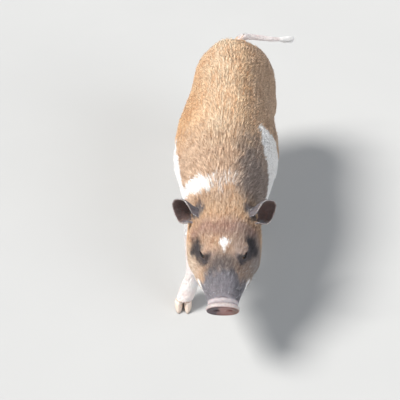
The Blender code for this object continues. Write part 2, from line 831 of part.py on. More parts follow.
def tail(torso):
    """The tail, thick at the root and trimmed to the rump."""
    bm = bmesh.new()
    limb(bm, TAIL, sides=12, rings=20)
    made = from_bmesh("tail", bm, PIG, "pale")
    combine(made, "DIFFERENCE", grown(torso, "torso_swollen", JOINT_GAP))
    return largest_only(made)


def lock(root, lie, out, length, width, thick, lift):
    """One flat tapered lock that rises from a sunk root and bends along the coat's lie."""
    across = lie.cross(out).normalized()
    stations = ((-0.12, 0.75, -1.6), (0.22, 1.0, 0.45), (0.62, 0.72, 1.0))
    bm = bmesh.new()
    rings = []
    for along, share, rise in stations:
        centre = root + lie * length * along + out * lift * rise
        half = width * share / 2
        rings.append([
            bm.verts.new(centre + across * half),
            bm.verts.new(centre + out * thick * share / 2),
            bm.verts.new(centre - across * half),
            bm.verts.new(centre - out * thick * share / 2),
        ])
    skin_rings(bm, rings)
    tip = bm.verts.new(root + lie * length + out * lift * 0.75)
    bm.faces.ensure_lookup_table()
    last = rings[-1]
    cap = next(f for f in bm.faces if set(f.verts) == set(last))
    bmesh.ops.delete(bm, geom=[cap], context="FACES_ONLY")
    for k, vert in enumerate(last):
        bm.faces.new((vert, last[(k + 1) % 4], tip))
    return bm


def beyond(point, cut):
    """How far a point lies behind a cut."""
    origin, normal = cut(0.0)
    return (point - origin).dot(normal)


def fits(root, tip, front, back):
    """Whether a lock keeps clear of the cuts in front of its node and behind it."""
    behind_front = beyond(root, front) > LOCK_CLEARANCE + 0.003
    return behind_front and (back is None or beyond(tip, back) < -LOCK_CLEARANCE)


def bristle(node, band, front, back, chance):
    """Locks in staggered rows along the top of a node, each bent back along the coat."""
    surface = BVHTree.FromObject(node, bpy.context.evaluated_depsgraph_get())
    locks = bpy.data.collections.new("locks")
    bpy.context.scene.collection.children.link(locks)
    rows = int((band.last_back - band.first_back) / band.row_step) + 1
    columns = int(band.half_width / band.column_step)
    for row in range(rows):
        stagger = 0.5 * (row % 2)
        for column in range(-columns, columns + (0 if row % 2 else 1)):
            side = (column + stagger + chance.uniform(-0.16, 0.16)) * band.column_step
            back_place = band.first_back + (row + chance.uniform(-0.2, 0.2)) * band.row_step
            hit, out, _, _ = surface.ray_cast(place(side, back_place, 0.4), Vector((0, 0, -1)))
            if hit is None or out.z < 0.5:
                continue
            lie = Vector((side / band.half_width * 0.35 + chance.uniform(-0.14, 0.14), 1.0, 0.0))
            lie = (lie - out * lie.dot(out)).normalized()
            length = band.length * chance.uniform(0.85, 1.1)
            while length > band.length * 0.5 and not fits(hit, hit + lie * length, front, back):
                length -= 0.001
            if length <= band.length * 0.5:
                continue
            width = band.width * chance.uniform(0.85, 1.1)
            bm = lock(hit, lie, out, length, width, LOCK_THICK, band.lift * chance.uniform(0.85, 1.2))
            from_bmesh("lock", bm, locks)
    combine(node, "UNION", locks)
    bpy.data.collections.remove(locks)
    return largest_only(node)


def tuft(made, chance):
    """The tuft at the tail's end: locks set around it that run on along it and close to a point."""
    locks = bpy.data.collections.new("locks")
    bpy.context.scene.collection.children.link(locks)
    path = limb_path(TAIL)
    sides = [joint.side for joint in TAIL]
    for k in range(TUFT_LOCKS):
        share = (k * 5 % TUFT_LOCKS + 0.5) / TUFT_LOCKS
        side = TUFT_ROOT[0] + (TUFT_ROOT[1] - TUFT_ROOT[0]) * share
        x, y, z, across, _ = path.at(float(np.interp(side, sides, path.places)))
        angle = math.tau * (k + chance.uniform(-0.2, 0.2)) / TUFT_LOCKS
        out = Vector((0, math.cos(angle), math.sin(angle)))
        lie = (Vector((1, 0, 0.03)) + out * 0.03).normalized()
        out = (out - lie * out.dot(lie)).normalized()
        root = Vector((x, y, z)) + out * across * 0.75
        length = min(TUFT_LENGTH, place(TAIL[-1].side, 0, 0).x - x)
        from_bmesh("lock", lock(root, lie, out, length, 0.0046, LOCK_THICK, 0.0012), locks)
    combine(made, "UNION", locks)
    bpy.data.collections.remove(locks)
    return largest_only(made)


def add_locks(nodes, tail_node):
    """All the standing bristles."""
    chance = random.Random(LOCK_SEED)
    borders = {"head": (muzzle_cut, head_cut), "neck": (head_cut, neck_cut), "torso": (neck_cut, None)}
    for name, band in LOCK_BANDS.items():
        bristle(nodes[name], band, *borders[name], chance)
    tuft(tail_node, chance)


PARTS_COLOUR = {"torso": "coat", "neck": "coat", "head": "coat"}


def main():
    """Builds the whole pig."""
    nodes = parted(whole_flesh())
    add_eyes(nodes["head"])
    cut_mouth(nodes["head"])
    snout_disc()
    for side, label in ((-1, "right"), (1, "left")):
        ear(side, label, nodes["head"])
    add_locks(nodes, tail(nodes["torso"]))
    for name, joints in LEGS.items():
        finish_foot(nodes[name], name.replace("leg", ""), joints)
    for name, node in nodes.items():
        node.data.materials.clear()
        node.data.materials.append(SURFACES[PARTS_COLOUR.get(name, "pale")])
    for tool in list(TOOLS.objects):
        bpy.data.objects.remove(tool)


main()
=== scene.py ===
import math

import bmesh
import bpy
import numpy as np
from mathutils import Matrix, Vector
from mathutils.bvhtree import BVHTree


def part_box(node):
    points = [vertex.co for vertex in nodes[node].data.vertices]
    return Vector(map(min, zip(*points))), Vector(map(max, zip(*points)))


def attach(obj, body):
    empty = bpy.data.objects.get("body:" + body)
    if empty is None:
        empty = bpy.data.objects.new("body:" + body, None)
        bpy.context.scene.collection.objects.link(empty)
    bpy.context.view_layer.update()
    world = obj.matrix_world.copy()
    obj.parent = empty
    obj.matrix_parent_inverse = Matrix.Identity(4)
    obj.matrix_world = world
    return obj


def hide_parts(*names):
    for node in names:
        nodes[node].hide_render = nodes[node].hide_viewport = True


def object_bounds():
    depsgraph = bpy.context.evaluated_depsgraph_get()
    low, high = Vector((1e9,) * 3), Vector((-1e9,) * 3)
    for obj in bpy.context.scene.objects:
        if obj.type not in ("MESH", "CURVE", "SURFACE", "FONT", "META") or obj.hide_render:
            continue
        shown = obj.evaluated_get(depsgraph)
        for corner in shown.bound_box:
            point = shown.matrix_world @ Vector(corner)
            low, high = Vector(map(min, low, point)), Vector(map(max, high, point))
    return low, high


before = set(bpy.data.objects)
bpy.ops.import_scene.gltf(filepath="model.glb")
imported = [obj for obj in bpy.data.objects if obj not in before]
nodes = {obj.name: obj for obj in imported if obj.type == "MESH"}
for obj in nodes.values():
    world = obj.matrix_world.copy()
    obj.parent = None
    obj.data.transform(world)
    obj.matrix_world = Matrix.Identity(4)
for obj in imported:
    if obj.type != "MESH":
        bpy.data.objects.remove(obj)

cad_low, cad_high = np.array(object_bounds())

# The skin. One unbroken hide over trunk, neck, head, ears, legs and tail, grown from the packed
# solids: their surfaces are fused, freed of the standing locks, softened and drawn in by the depth
# of the coat, and then given the creases of the snout, the lids and the neck.
SKIN_GRAIN = 0.0011
SKIN_TRIANGLES = 186_000
LEGS = ["foreleg_right", "foreleg_left", "hindleg_right", "hindleg_left"]
EARS = ["ear_right", "ear_left"]
REGIONS = ["torso", "neck", "head", "snout_disc", "tail"] + EARS + LEGS

# The snout's disc leans forward at its top, over the end of the snout that lengths start from.
DISC_LEAN = math.radians(19.0)
DISC_OVERHANG = 0.0060
DISC_HALF = (0.0240, 0.0178)
disc_low, disc_high = np.array(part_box("snout_disc"))
disc_middle = (disc_low + disc_high) / 2
disc_axis = np.array((0, math.cos(DISC_LEAN), math.sin(DISC_LEAN)))
disc_up = np.array((0, -math.sin(DISC_LEAN), math.cos(DISC_LEAN)))
MIDLINE = disc_middle[0]
SNOUT = disc_low[1] + DISC_OVERHANG
EYES = [np.array(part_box(name)).mean(axis=0) for name in ("eye_right", "eye_left")]
EYE_LOOKS = [np.array((side * 0.76, -0.48, 0.44)) for side in (-1, 1)]
EYE_CORNERS = [np.array((side * 0.38, 0.80, 0.42)) for side in (-1, 1)]
dice = np.random.default_rng(2024)


def arrays(mesh):
    """Points, point normals and polygons of a mesh."""
    points = np.empty(len(mesh.vertices) * 3, np.float32)
    mesh.vertices.foreach_get("co", points)
    normals = np.empty(len(mesh.vertices) * 3, np.float32)
    mesh.vertex_normals.foreach_get("vector", normals)
    polygons = [tuple(p.vertices) for p in mesh.polygons]
    return points.reshape(-1, 3).astype(float), normals.reshape(-1, 3).astype(float), polygons


def welded(name):
    """Points, point normals and polygons of a CAD node, with its split edges joined again."""
    bm = bmesh.new()
    bm.from_mesh(nodes[name].data)
    bmesh.ops.remove_doubles(bm, verts=bm.verts, dist=0.000002)
    mesh = bpy.data.meshes.new(name)
    bm.to_mesh(mesh)
    bm.free()
    return arrays(mesh)


def places(points):
    """Points as distance from the midline, behind the snout and above the floor."""
    return points[:, 0] - MIDLINE, points[:, 1] - SNOUT, points[:, 2]


def unit(vectors):
    """Vectors at length one."""
    return vectors / np.maximum(np.linalg.norm(vectors, axis=-1, keepdims=True), 1e-12)


def step(values, low, high):
    """Rises smoothly from 0 at low to 1 at high."""
    t = np.clip((values - low) / (high - low), 0, 1)
    return t * t * (3 - 2 * t)


def ripple(points, size, seed):
    """Smooth uneven noise about zero, with features about as wide as size."""
    draws = np.random.default_rng(seed)
    total = np.zeros(len(points))
    for _ in range(9):
        direction = unit(draws.normal(size=3)) * math.tau / size * draws.uniform(0.35, 1.1)
        total += np.sin(points @ direction + draws.uniform(0, math.tau))
    return total / 3.2


def bell(values, width):
    """1 at zero, and falling away smoothly over a width."""
    return np.exp(-((values / width) ** 2))


def nearest(where, spots):
    """How far each place is from the nearest of some spots."""
    return np.min([np.linalg.norm(where - spot, axis=1) for spot in spots], axis=0)


def is_in(area, *names):
    """Which places lie in the named flesh nodes."""
    return np.isin(area, [REGIONS.index(name) for name in names])


def eye_axes(looks, corner):
    """The way an eye looks, the line of its lids and the way up across them."""
    looks = unit(looks)
    along = unit(corner - looks * (corner @ looks))
    up = np.cross(looks, along)
    return looks, along, up if up[2] > 0 else -up


def put_in_scene(name, data):
    """A new object that is shown."""
    made = bpy.data.objects.new(name, data)
    bpy.context.scene.collection.objects.link(made)
    return made


def fuse(body, grain):
    """Makes one closed surface of an object's overlapping solids."""
    remesh = body.modifiers.new("fuse", "REMESH")
    remesh.mode = "VOXEL"
    remesh.voxel_size = grain


def finished_mesh(body):
    """An object's mesh as its modifiers leave it."""
    return bpy.data.meshes.new_from_object(body.evaluated_get(bpy.context.evaluated_depsgraph_get()))


def stacked(names, change):
    """Points and polygons of some nodes as one list each, every node's points changed first."""
    points, polygons, owners = [], [], []
    for index, name in enumerate(names):
        node_points, normals, node_polygons = welded(name)
        polygons += [tuple(i + len(points) for i in p) for p in node_polygons]
        points += change(name, node_points, normals).tolist()
        owners += [index] * len(node_polygons)
    return points, polygons, owners


# Under the locks: the back's own surface is found on a grid, from inside the body upwards, what
# stands over it is sunk, and the tail's end is thinned over the length of its lock.
BACK_GRID = 0.0015
BACK_INSIDE = 0.145
BACK_SIDES = (-0.042, 0.0421)
BACK_ENDS = (0.100, 0.5181)
FACES_UP = 0.4
LOCK_STANDS, LOCK_SINKS = 0.0005, 0.0020
TAIL_LOCK = 0.036
TAIL_LOCK_ROOT = 0.047
TAIL_END_HALF, TAIL_END_GROWS = 0.0022, 0.0026


def back_under_locks():
    """Heights of the back's own surface, without its locks, on a grid over the midline."""
    points, polygons, _ = stacked(("torso", "neck", "head"), lambda name, node_points, normals: node_points)
    tree = BVHTree.FromPolygons(points, polygons)
    sides, backs = np.arange(*BACK_SIDES, BACK_GRID), np.arange(*BACK_ENDS, BACK_GRID)
    heights = np.zeros((len(sides), len(backs)))
    for i, side in enumerate(sides):
        for j, back in enumerate(backs):
            start = Vector((side + MIDLINE, back + SNOUT, BACK_INSIDE))
            for _ in range(8):
                hit, normal, _, _ = tree.ray_cast(start, Vector((0, 0, 1)))
                if hit is None or normal.z > FACES_UP:
                    break
                start = hit + Vector((0, 0, 0.00002))
            heights[i, j] = hit.z if hit else np.nan
    missing = np.isnan(heights)
    heights[missing] = np.interp(np.flatnonzero(missing), np.flatnonzero(~missing), heights[~missing])
    for pick in (np.minimum, np.maximum):
        for axis in (0, 1):
            for _ in range(4):
                padded = np.pad(heights, [(1, 1) if a == axis else (0, 0) for a in (0, 1)], "edge")
                before = np.take(padded, range(heights.shape[axis]), axis)
                after = np.take(padded, range(2, heights.shape[axis] + 2), axis)
                heights = pick(pick(before, after), heights)
    return sides, backs, heights


def sink_locks(name, points):
    """Pushes the standing locks of a node below its own surface."""
    side, back, height = places(points)
    if name in ("torso", "neck", "head"):
        sides, backs, heights = BACK
        inside = (abs(side) < sides[-1]) & (back > backs[0]) & (back < backs[-1]) & (height > 0.15)
        i = np.clip((side - sides[0]) / BACK_GRID, 0, len(sides) - 1.001)
        j = np.clip((back - backs[0]) / BACK_GRID, 0, len(backs) - 1.001)
        a, b = i.astype(int), j.astype(int)
        u, v = i - a, j - b
        surface = (
            heights[a, b] * (1 - u) * (1 - v) + heights[a + 1, b] * u * (1 - v)
            + heights[a, b + 1] * (1 - u) * v + heights[a + 1, b + 1] * u * v
        )
        above = inside & (height > surface + LOCK_STANDS)
        points[above, 2] = surface[above] - LOCK_SINKS
    if name == "tail":
        tip = points[:, 0].max()
        end = points[:, 0] > tip - TAIL_LOCK
        root = (points[:, 0] > tip - TAIL_LOCK_ROOT) & ~end
        centre = (points[root, 1:].min(axis=0) + points[root, 1:].max(axis=0)) / 2
        share = np.clip((tip - points[end, 0]) / TAIL_LOCK, 0, 1)[:, None]
        middle = centre * share + np.array((centre[0] - 0.001, centre[1] + 0.001)) * (1 - share)
        offset = points[end, 1:] - middle
        reach = (TAIL_END_HALF + TAIL_END_GROWS * share) / np.linalg.norm(offset, axis=1, keepdims=True)
        points[end, 1:] = middle + offset * np.minimum(1, reach)
    return points


BACK = back_under_locks()


def fused_flesh():
    """All the flesh nodes as one fine closed surface."""
    points, polygons, _ = stacked(
        REGIONS, lambda name, node_points, normals: sink_locks(name, node_points + normals * 0.0003)
    )
    mesh = bpy.data.meshes.new("flesh")
    mesh.from_pydata(points, [], polygons)
    flesh = put_in_scene("flesh", mesh)
    fuse(flesh, SKIN_GRAIN)
    mesh = finished_mesh(flesh)
    bpy.data.objects.remove(flesh)
    return mesh


skin_mesh = fused_flesh()
skin = put_in_scene("skin", skin_mesh)
points, normals, polygons = arrays(skin_mesh)
edges = np.empty(len(skin_mesh.edges) * 2, np.int32)
skin_mesh.edges.foreach_get("vertices", edges)
edges = edges.reshape(-1, 2)
ends = np.concatenate([edges[:, 0], edges[:, 1]])
others = np.concatenate([edges[:, 1], edges[:, 0]])
neighbours = np.bincount(ends, minlength=len(points))


def spread(values, weight, rounds):
    """Evens values out over the skin, each point by its own weight."""
    values = values.copy()
    flat = values.reshape(len(values), -1)
    for _ in range(rounds):
        for column in range(flat.shape[1]):
            around = np.bincount(ends, flat[others, column], minlength=len(flat)) / neighbours
            flat[:, column] += (around - flat[:, column]) * weight
    return flat.reshape(values.shape)


def node_finder():
    """A function that gives, for each of some places, the index of the nearest flesh node."""
    points, polygons, owners = stacked(
        REGIONS, lambda name, node_points, normals: sink_locks(name, node_points)
    )
    tree = BVHTree.FromPolygons(points, polygons)
    return lambda where: np.array([owners[tree.find_nearest(p)[2]] for p in where])


nearest_region = node_finder()
shares = np.zeros((len(points), len(REGIONS)))
shares[np.arange(len(points)), nearest_region(points.tolist())] = 1
shares = spread(shares, 0.6, 6)
share = {name: shares[:, i] for i, name in enumerate(REGIONS)}
ear_share = share["ear_right"] + share["ear_left"]
leg_share = sum(share[name] for name in LEGS)
face_share = share["head"] + share["snout_disc"]

# Facets are smoothed away: most on the trunk, least on face, ears and feet.
side, back, height = places(points)
near_eye = nearest(points, EYES)
softness = 0.62 * (share["torso"] + share["neck"]) + 0.62 * face_share * step(back, 0.06, 0.13)
softness += 0.20 * face_share * (1 - step(back, 0.06, 0.13)) + 0.45 * leg_share + 0.35 * ear_share
softness += 0.20 * share["tail"]
softness *= 0.12 + 0.88 * step(near_eye, 0.010, 0.018)
softness *= 1 - 0.75 * share["snout_disc"]
softness *= 1 - 0.55 * leg_share * (1 - step(height, 0.014, 0.030))
points = spread(points, softness, 30)

coat_depth = 0.0019 * (share["torso"] + share["neck"]) + 0.0009 * leg_share + 0.0004 * ear_share
coat_depth += face_share * (0.0003 + 0.0013 * step(back, 0.05, 0.14)) + 0.0006 * share["tail"]
coat_depth *= 1 - share["snout_disc"]
coat_depth *= 0.25 + 0.75 * step(near_eye, 0.011, 0.020)
points -= normals * spread(coat_depth, 0.6, 8)[:, None]

# Creases. A ring across the snout has its distance behind the disc, depth, width and reach to the
# sides, a line over its bridge its distance behind the snout and depth, a fold round an eye its
# size, depth and width. A swelling lies behind the first ring.
RINGS = (
    (0.0056, 0.0013, 0.0012, 0.040), (0.0150, 0.0016, 0.0012, 0.007), (0.0180, 0.0005, 0.0014, 0.040),
    (0.0235, 0.0006, 0.0015, 0.040), (0.0310, 0.0005, 0.0018, 0.040),
)
BRIDGE_LINES = ((0.050, 0.0005), (0.056, 0.0006), (0.0625, 0.0006))
UPPER_FOLDS = ((0.0080, 0.0009, 0.0009),)
LOWER_FOLDS = ((0.0082, 0.0006, 0.0010), (0.0115, 0.0006, 0.0012))
SWELLING_PLACE, SWELLING_RISE, SWELLING_WIDTH = 0.0100, 0.0009, 0.0026
JOWL_PLACE, JOWL_DEPTH, JOWL_WIDTH = 0.083, 0.0016, 0.0045
THROAT_PLACE, THROAT_DEPTH, THROAT_WIDTH = 0.158, 0.0020, 0.0060

side, back, height = places(points)
behind_disc = (points - disc_middle) @ disc_axis
upper = np.clip(normals[:, 2] * 1.1 + 0.35, 0, 1)
around_snout = np.arctan2(side, height - disc_middle[2])
relief = SWELLING_RISE * bell(behind_disc - SWELLING_PLACE, SWELLING_WIDTH) * face_share * upper
for ring_place, depth, width, reach in RINGS:
    waver = 0.0010 * np.cos(around_snout * 2.0) + 0.0005 * np.sin(around_snout * 5 + ring_place * 900)
    ring = bell(behind_disc - ring_place - waver, width) * np.exp(-((side / reach) ** 4))
    relief -= depth * ring * face_share * upper
for line_back, depth in BRIDGE_LINES:
    bow = 0.003 * np.cos(side / 0.012) + 0.0008 * np.sin(side / 0.003)
    between = bell(side, 0.014) * np.clip(normals[:, 2], 0, 1)
    relief -= depth * bell(back - line_back + bow, 0.0014) * between * share["head"]
for eye, eye_looks, corner in zip(EYES, EYE_LOOKS, EYE_CORNERS):
    offset = points - eye
    w, u, v = (offset @ axis for axis in eye_axes(eye_looks, corner))
    near = share["head"] * (w > -0.004) * bell(np.maximum(abs(u) - 0.012, 0), 0.004)
    oval = np.sqrt((u / 1.35) ** 2 + v**2)
    for half, folds in ((v > 0, UPPER_FOLDS), (v <= 0, LOWER_FOLDS)):
        for size, depth, width in folds:
            relief -= depth * bell(oval - size, width) * half * near
jowl = bell(back - JOWL_PLACE - 0.10 * (height - 0.10), JOWL_WIDTH) * (height < 0.125)
relief -= JOWL_DEPTH * jowl * share["head"] * np.clip(abs(side) / 0.03, 0, 1)
throat = bell(back - THROAT_PLACE - 0.25 * (height - 0.14), THROAT_WIDTH)
relief -= THROAT_DEPTH * throat * (1 - step(height, 0.150, 0.190)) * (share["head"] + share["neck"])
relief += 0.0005 * ripple(points, 0.030, 5) * (share["torso"] + share["neck"])
points += normals * relief[:, None]
points = np.clip(points, cad_low + 0.0001, cad_high - 0.0001)
points = spread(points, 0.12 * np.ones(len(points)), 2)

skin_mesh.vertices.foreach_set("co", points.astype(np.float32).ravel())
skin_mesh.update()
body_group = skin.vertex_groups.new(name="thinned_most")
plain = np.clip(share["torso"] + share["neck"] + 0.7 * leg_share + 0.5 * share["tail"], 0, 1)
for level in np.linspace(0.1, 1.0, 10):
    chosen = np.flatnonzero(abs(plain - level) <= 0.05001)
    body_group.add(chosen.tolist(), float(level), "REPLACE")
skin_mesh.calc_loop_triangles()
thin = skin.modifiers.new("thin", "DECIMATE")
thin.ratio = SKIN_TRIANGLES / len(skin_mesh.loop_triangles)
thin.use_collapse_triangulate = True
thin.vertex_group = "thinned_most"
skin_mesh = finished_mesh(skin)
skin.modifiers.clear()
skin.data = skin_mesh
skin_mesh.shade_smooth()
points, normals, polygons = arrays(skin_mesh)
skin_tree = BVHTree.FromPolygons(points.tolist(), polygons)
region = nearest_region(points.tolist())


def near_line(spots, start, end):
    """How far each spot is from a straight line between two others."""
    start, way = np.array(start), np.array(end) - np.array(start)
    along = np.clip((spots - start) @ way / (way @ way), 0, 1)
    return np.linalg.norm(spots - start - along[:, None] * way, axis=1)


def ear_root(name):
    """The middle of an ear's inner end."""
    ear_points = welded(name)[0]
    inward = abs(ear_points[:, 0] - MIDLINE)
    return ear_points[inward < inward.min() + 0.010].mean(axis=0)


EAR_ROOTS = [ear_root(name) for name in EARS]
EAR_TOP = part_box("ear_left")[1][2]

# Where the marks are, from the midline, behind the snout and above the floor. A belt has the height
# of its top edge at some distances back, the collar its front and rear at some distances to the
# left. The patch round an eye has a spine, an inner arm and a heart, the same on both sides.
LEFT_BELT = ([0.176, 0.210, 0.236, 0.281], [0.150, 0.172, 0.204, 0.222])
RIGHT_BELT = ([0.140, 0.198, 0.236, 0.287], [0.150, 0.164, 0.177, 0.181])
COLLAR_SIDES = [-0.075, -0.060, -0.046, -0.037, -0.014, -0.003, 0.018]
COLLAR_FRONT = [0.176, 0.170, 0.1645, 0.159, 0.152, 0.150, 0.159]
COLLAR_REAR = [0.200, 0.191, 0.183, 0.179, 0.177, 0.177, 0.180]
STAR_BACK, STAR_LENGTH, STAR_HALF = 0.0640, 0.0205, 0.0082
BELLY_TOP, CHIN_TOP, LEG_TOP = 0.090, 0.086, 0.112
LIP_CORNER, LIP_SPREAD = (0.033, 0.055, 0.103), (0.007, 0.008, 0.008)
CHEEK, CHEEK_SPREAD = (0.045, 0.078, 0.115), (0.014, 0.026, 0.022)
PATCH_SPINE = ((0.0375, 0.086, 0.156), (0.0435, 0.082, 0.140))
PATCH_ARM = ((0.0260, 0.0640, 0.1440), (0.0400, 0.080, 0.149))
PATCH_HEART = (0.0380, 0.0770, 0.1490)
PATCH_HALF, PATCH_HEART_REACH = 0.0082, 0.0125
MUZZLE_BACK, FOREHEAD_BACK, POLL_BACK = 0.049, 0.098, 0.132


def markings(where, area, rim, facing):
    """How strong each of the marks is at some places, in the order of MARKS, with painted light on the top
    of the back and painted shade on the pig's left side among them.
    """
    side, back, height = places(where)
    either_side = np.stack([abs(side), back, height], axis=1)
    drift = 0.0040 * ripple(where, 0.016, 3) + 0.0026 * ripple(where, 0.006, 4)
    is_leg, is_ear, is_tail = is_in(area, *LEGS), is_in(area, *EARS), is_in(area, "tail")
    is_head, is_neck = is_in(area, "head", "snout_disc"), is_in(area, "neck")
    is_body = ~is_leg & ~is_ear

    def blot(middle, reach):
        """A soft spot on each side of the pig."""
        return np.exp(-(((either_side - middle) / reach) ** 2).sum(axis=1))

    # The outside of an ear: its back, its root and the very end of the left one.
    root_side = abs(EAR_ROOTS[0][0] - MIDLINE)
    outer = np.maximum(step(facing, -0.30, 0.15), 1 - step(abs(side) - root_side, 0.006, 0.014))
    ear_end = step(height + drift * 0.4, EAR_TOP - 0.013, EAR_TOP - 0.006) * (side > 0)
    outer = np.maximum(outer, 0.80 * ear_end) * is_ear

    # White: a belt over each shoulder, high on the left, a broken collar, the belly, a star, the
    # corners of the lips, the chin, legs and tail.
    low_down = step(height, 0.185, 0.150)
    left = step(np.interp(back, *LEFT_BELT) - height + drift * 0.6, -0.0015, 0.0015) * (side > 0)
    left *= step(back, 0.176, 0.184)
    rear = 0.284 + (0.30 * np.maximum(0.162 - height, 0) + 0.008 * ripple(where, 0.060, 7)) * low_down
    left *= step(rear - back + drift * 0.6, -0.0015, 0.0015)
    right = step(np.interp(back, *RIGHT_BELT) - height + drift * 0.6, -0.002, 0.002) * (side < 0)
    right *= step(back, 0.140, 0.146)
    rear = 0.290 + (0.35 * np.maximum(0.170 - height, 0) + 0.008 * ripple(where, 0.060, 8)) * low_down
    right *= step(rear - back + drift * 0.8, -0.002, 0.002)
    front = np.interp(side, COLLAR_SIDES, COLLAR_FRONT)
    rear = np.interp(side, COLLAR_SIDES, COLLAR_REAR)
    collar = step(back + drift * 0.5, front - 0.003, front + 0.002)
    collar *= 1 - step(back + drift * 0.8, rear - 0.003, rear + 0.004)
    collar *= 1 - 0.52 * step(side, -0.032, -0.012)
    collar *= 1 - step(side + drift, 0.010, 0.026)
    belly_edge = 1.5 * drift + 0.007 * ripple(where, 0.080, 9)
    belly = 1 - step(height + belly_edge, BELLY_TOP, BELLY_TOP + 0.008)
    along_star = np.clip((back - STAR_BACK) / STAR_LENGTH, 0, 1)
    half = STAR_HALF * np.sin(along_star**1.9 * math.pi) + 0.0002
    star = step(half - abs(side - 0.0010) + drift * 0.30, -0.0012, 0.0012)
    star *= (along_star > 0) * (along_star < 1) * (height > 0.14)
    lips = 1.7 * blot(LIP_CORNER, LIP_SPREAD)
    chin = 0.8 * (1 - step(height + drift, CHIN_TOP, CHIN_TOP + 0.008))
    upper_leg = (1 - step(height + drift, LEG_TOP, LEG_TOP + 0.016)) * ~is_head
    on_head = np.maximum.reduce([star, lips, chin]) * is_head
    white = np.maximum.reduce([left * ~is_head, right * ~is_head, collar, belly, on_head, upper_leg])
    white = np.where(is_leg | is_tail, 1.0, white)
    white = np.where(is_ear, 0.85 * rim, white)

    # Slate: a patch round each eye that runs down to its inner corner, the lids, the bridge of the
    # snout, the ears and their roots.
    bars = np.minimum(near_line(either_side, *PATCH_SPINE), near_line(either_side, *PATCH_ARM))
    heart = nearest(either_side, [PATCH_HEART])
    patch = np.minimum(bars - PATCH_HALF, heart - PATCH_HEART_REACH) + drift * 0.6
    slate = (1 - step(patch, -0.0055, 0.0050)) * is_head
    from_ear = nearest(where, EAR_ROOTS) + drift * 0.6
    slate = np.maximum(slate, 0.30 * (1 - step(from_ear, 0.0110, 0.0180)) * ~is_ear)
    ear_smoke = 0.85 * (1 - step(from_ear, 0.0100, 0.0170)) * ~is_ear
    lids = 1 - step(nearest(where, EYES), 0.0118, 0.0150)
    bridge = np.exp(-((side / 0.027) ** 4)) * step(back + drift, 0.044, 0.052)
    bridge *= 1 - step(back + drift, 0.056, 0.072)
    slate = np.maximum(slate, np.maximum(0.88 * lids, 0.62 * bridge) * is_head)
    slate = np.where(is_ear, 0.95 - 0.62 * outer, slate)

    # Smoke: the muzzle up to below the eyes, its fading streak between them, and a haze over the
    # face and the left of the neck, partly a darker coat and partly painted shade, darkest on the face's
    # left side, away from the key light. The whole left side is a little darker too, with painted shade.
    muzzle_edge = MUZZLE_BACK - 0.002 * step(abs(side), 0.014, 0.026)
    muzzle_edge += 0.006 * (1 - step(height, 0.105, 0.122))
    smoke_and_shade = 1 - step(back - drift * 0.8, muzzle_edge - 0.007, muzzle_edge + 0.007)
    streak = 0.75 * (1 - step(back - drift, 0.050, 0.086)) * bell(side, 0.026)
    neck_haze_and_shade = 0.55 * step(side + drift, 0.008, 0.030) * step(back, 0.135, 0.160)
    neck_haze_and_shade *= (1 - step(back + drift * 2, 0.195, 0.275)) * (height > 0.13)
    # Painted shade: slate over the left of the neck, and a little over the whole left side of the body.
    slate = np.maximum(slate, np.maximum(0.62 * neck_haze_and_shade, 0.20 * step(side + drift, 0.010, 0.036)) * is_body)
    # Painted shade over a grey haze: the face grows darker towards its left side.
    face_haze_and_shade = 0.20 + 0.26 * step(side, -0.010, 0.030) + 0.24 * step(side, 0.030, 0.046)
    face_haze_and_shade *= step(back, 0.022, 0.042) * (1 - step(back + drift, 0.090, 0.114)) * is_head
    smoke_and_shade = np.maximum(smoke_and_shade, streak) * is_head
    smoke_and_shade = np.maximum.reduce([smoke_and_shade, np.maximum(neck_haze_and_shade, face_haze_and_shade) * ~is_leg, ear_smoke])
    smoke_and_shade = np.where(is_ear, outer, smoke_and_shade)

    # Golden along the back: a paler coat, with painted light on the top of the back. Grizzled brown over
    # neck, withers and face, and over the left flank, where it is partly painted shade. Cream on the
    # cheeks, the jowls and the poll, russet on forehead and poll.
    # Painted light, partly a paler coat: the top of the back is lighter, most a little to the right,
    # towards the key light.
    golden_and_lit = bell(side + 0.006, 0.034) * step(back + drift * 3, 0.190, 0.250)
    golden_and_lit = golden_and_lit * (height > 0.20) * ~is_head
    neck = step(back + drift * 2, 0.120, 0.165) * (1 - step(back + drift * 3, 0.225, 0.300))
    neck *= step(height, 0.11, 0.15) * (1 - 0.6 * golden_and_lit)
    # Painted shade, partly a browner coat: the left flank, away from the key light, is darker.
    left_flank_shade = 0.75 * step(side + drift, 0.020, 0.048)
    face = step(back, 0.020, 0.040) * (1 - step(back + drift, 0.100, 0.128)) * is_head
    face *= 0.72 + 0.22 * ripple(where, 0.020, 11)
    grizzled_and_shade = np.maximum(np.maximum(neck, left_flank_shade) * ~is_leg, face)
    cheek = blot(CHEEK, CHEEK_SPREAD)
    jowl = 1 - step(height + drift, 0.096, 0.118)
    on_poll = bell(back - POLL_BACK, 0.022) * step(height, 0.15, 0.17) * (is_head | is_neck)
    cream = np.maximum(np.maximum(cheek, jowl) * is_head, 0.55 * bell(side, 0.040) * on_poll)
    forehead = bell(back - FOREHEAD_BACK, 0.013) * step(height, 0.14, 0.16) * (is_head | is_neck)
    forehead *= 0.72 + 0.30 * ripple(where, 0.014, 12)
    russet = np.maximum(forehead, 0.30 * bell(side, 0.036) * on_poll)
    russet = np.where(is_ear, 0.4, russet)

    # Pink: the skin shows through the thin white coat of legs and tail.
    pink = (0.70 + 0.35 * ripple(where, 0.020, 13)) * (is_leg | is_tail)
    return np.clip(np.stack([white, slate, smoke_and_shade, grizzled_and_shade, cream, russet, golden_and_lit, pink], axis=1), 0, 1)


def set_numbers(mesh, name, values):
    """Stores one number for each point of a mesh."""
    attribute = mesh.attributes.new(name, "FLOAT", "POINT")
    attribute.data.foreach_set("value", np.ascontiguousarray(values, np.float32))


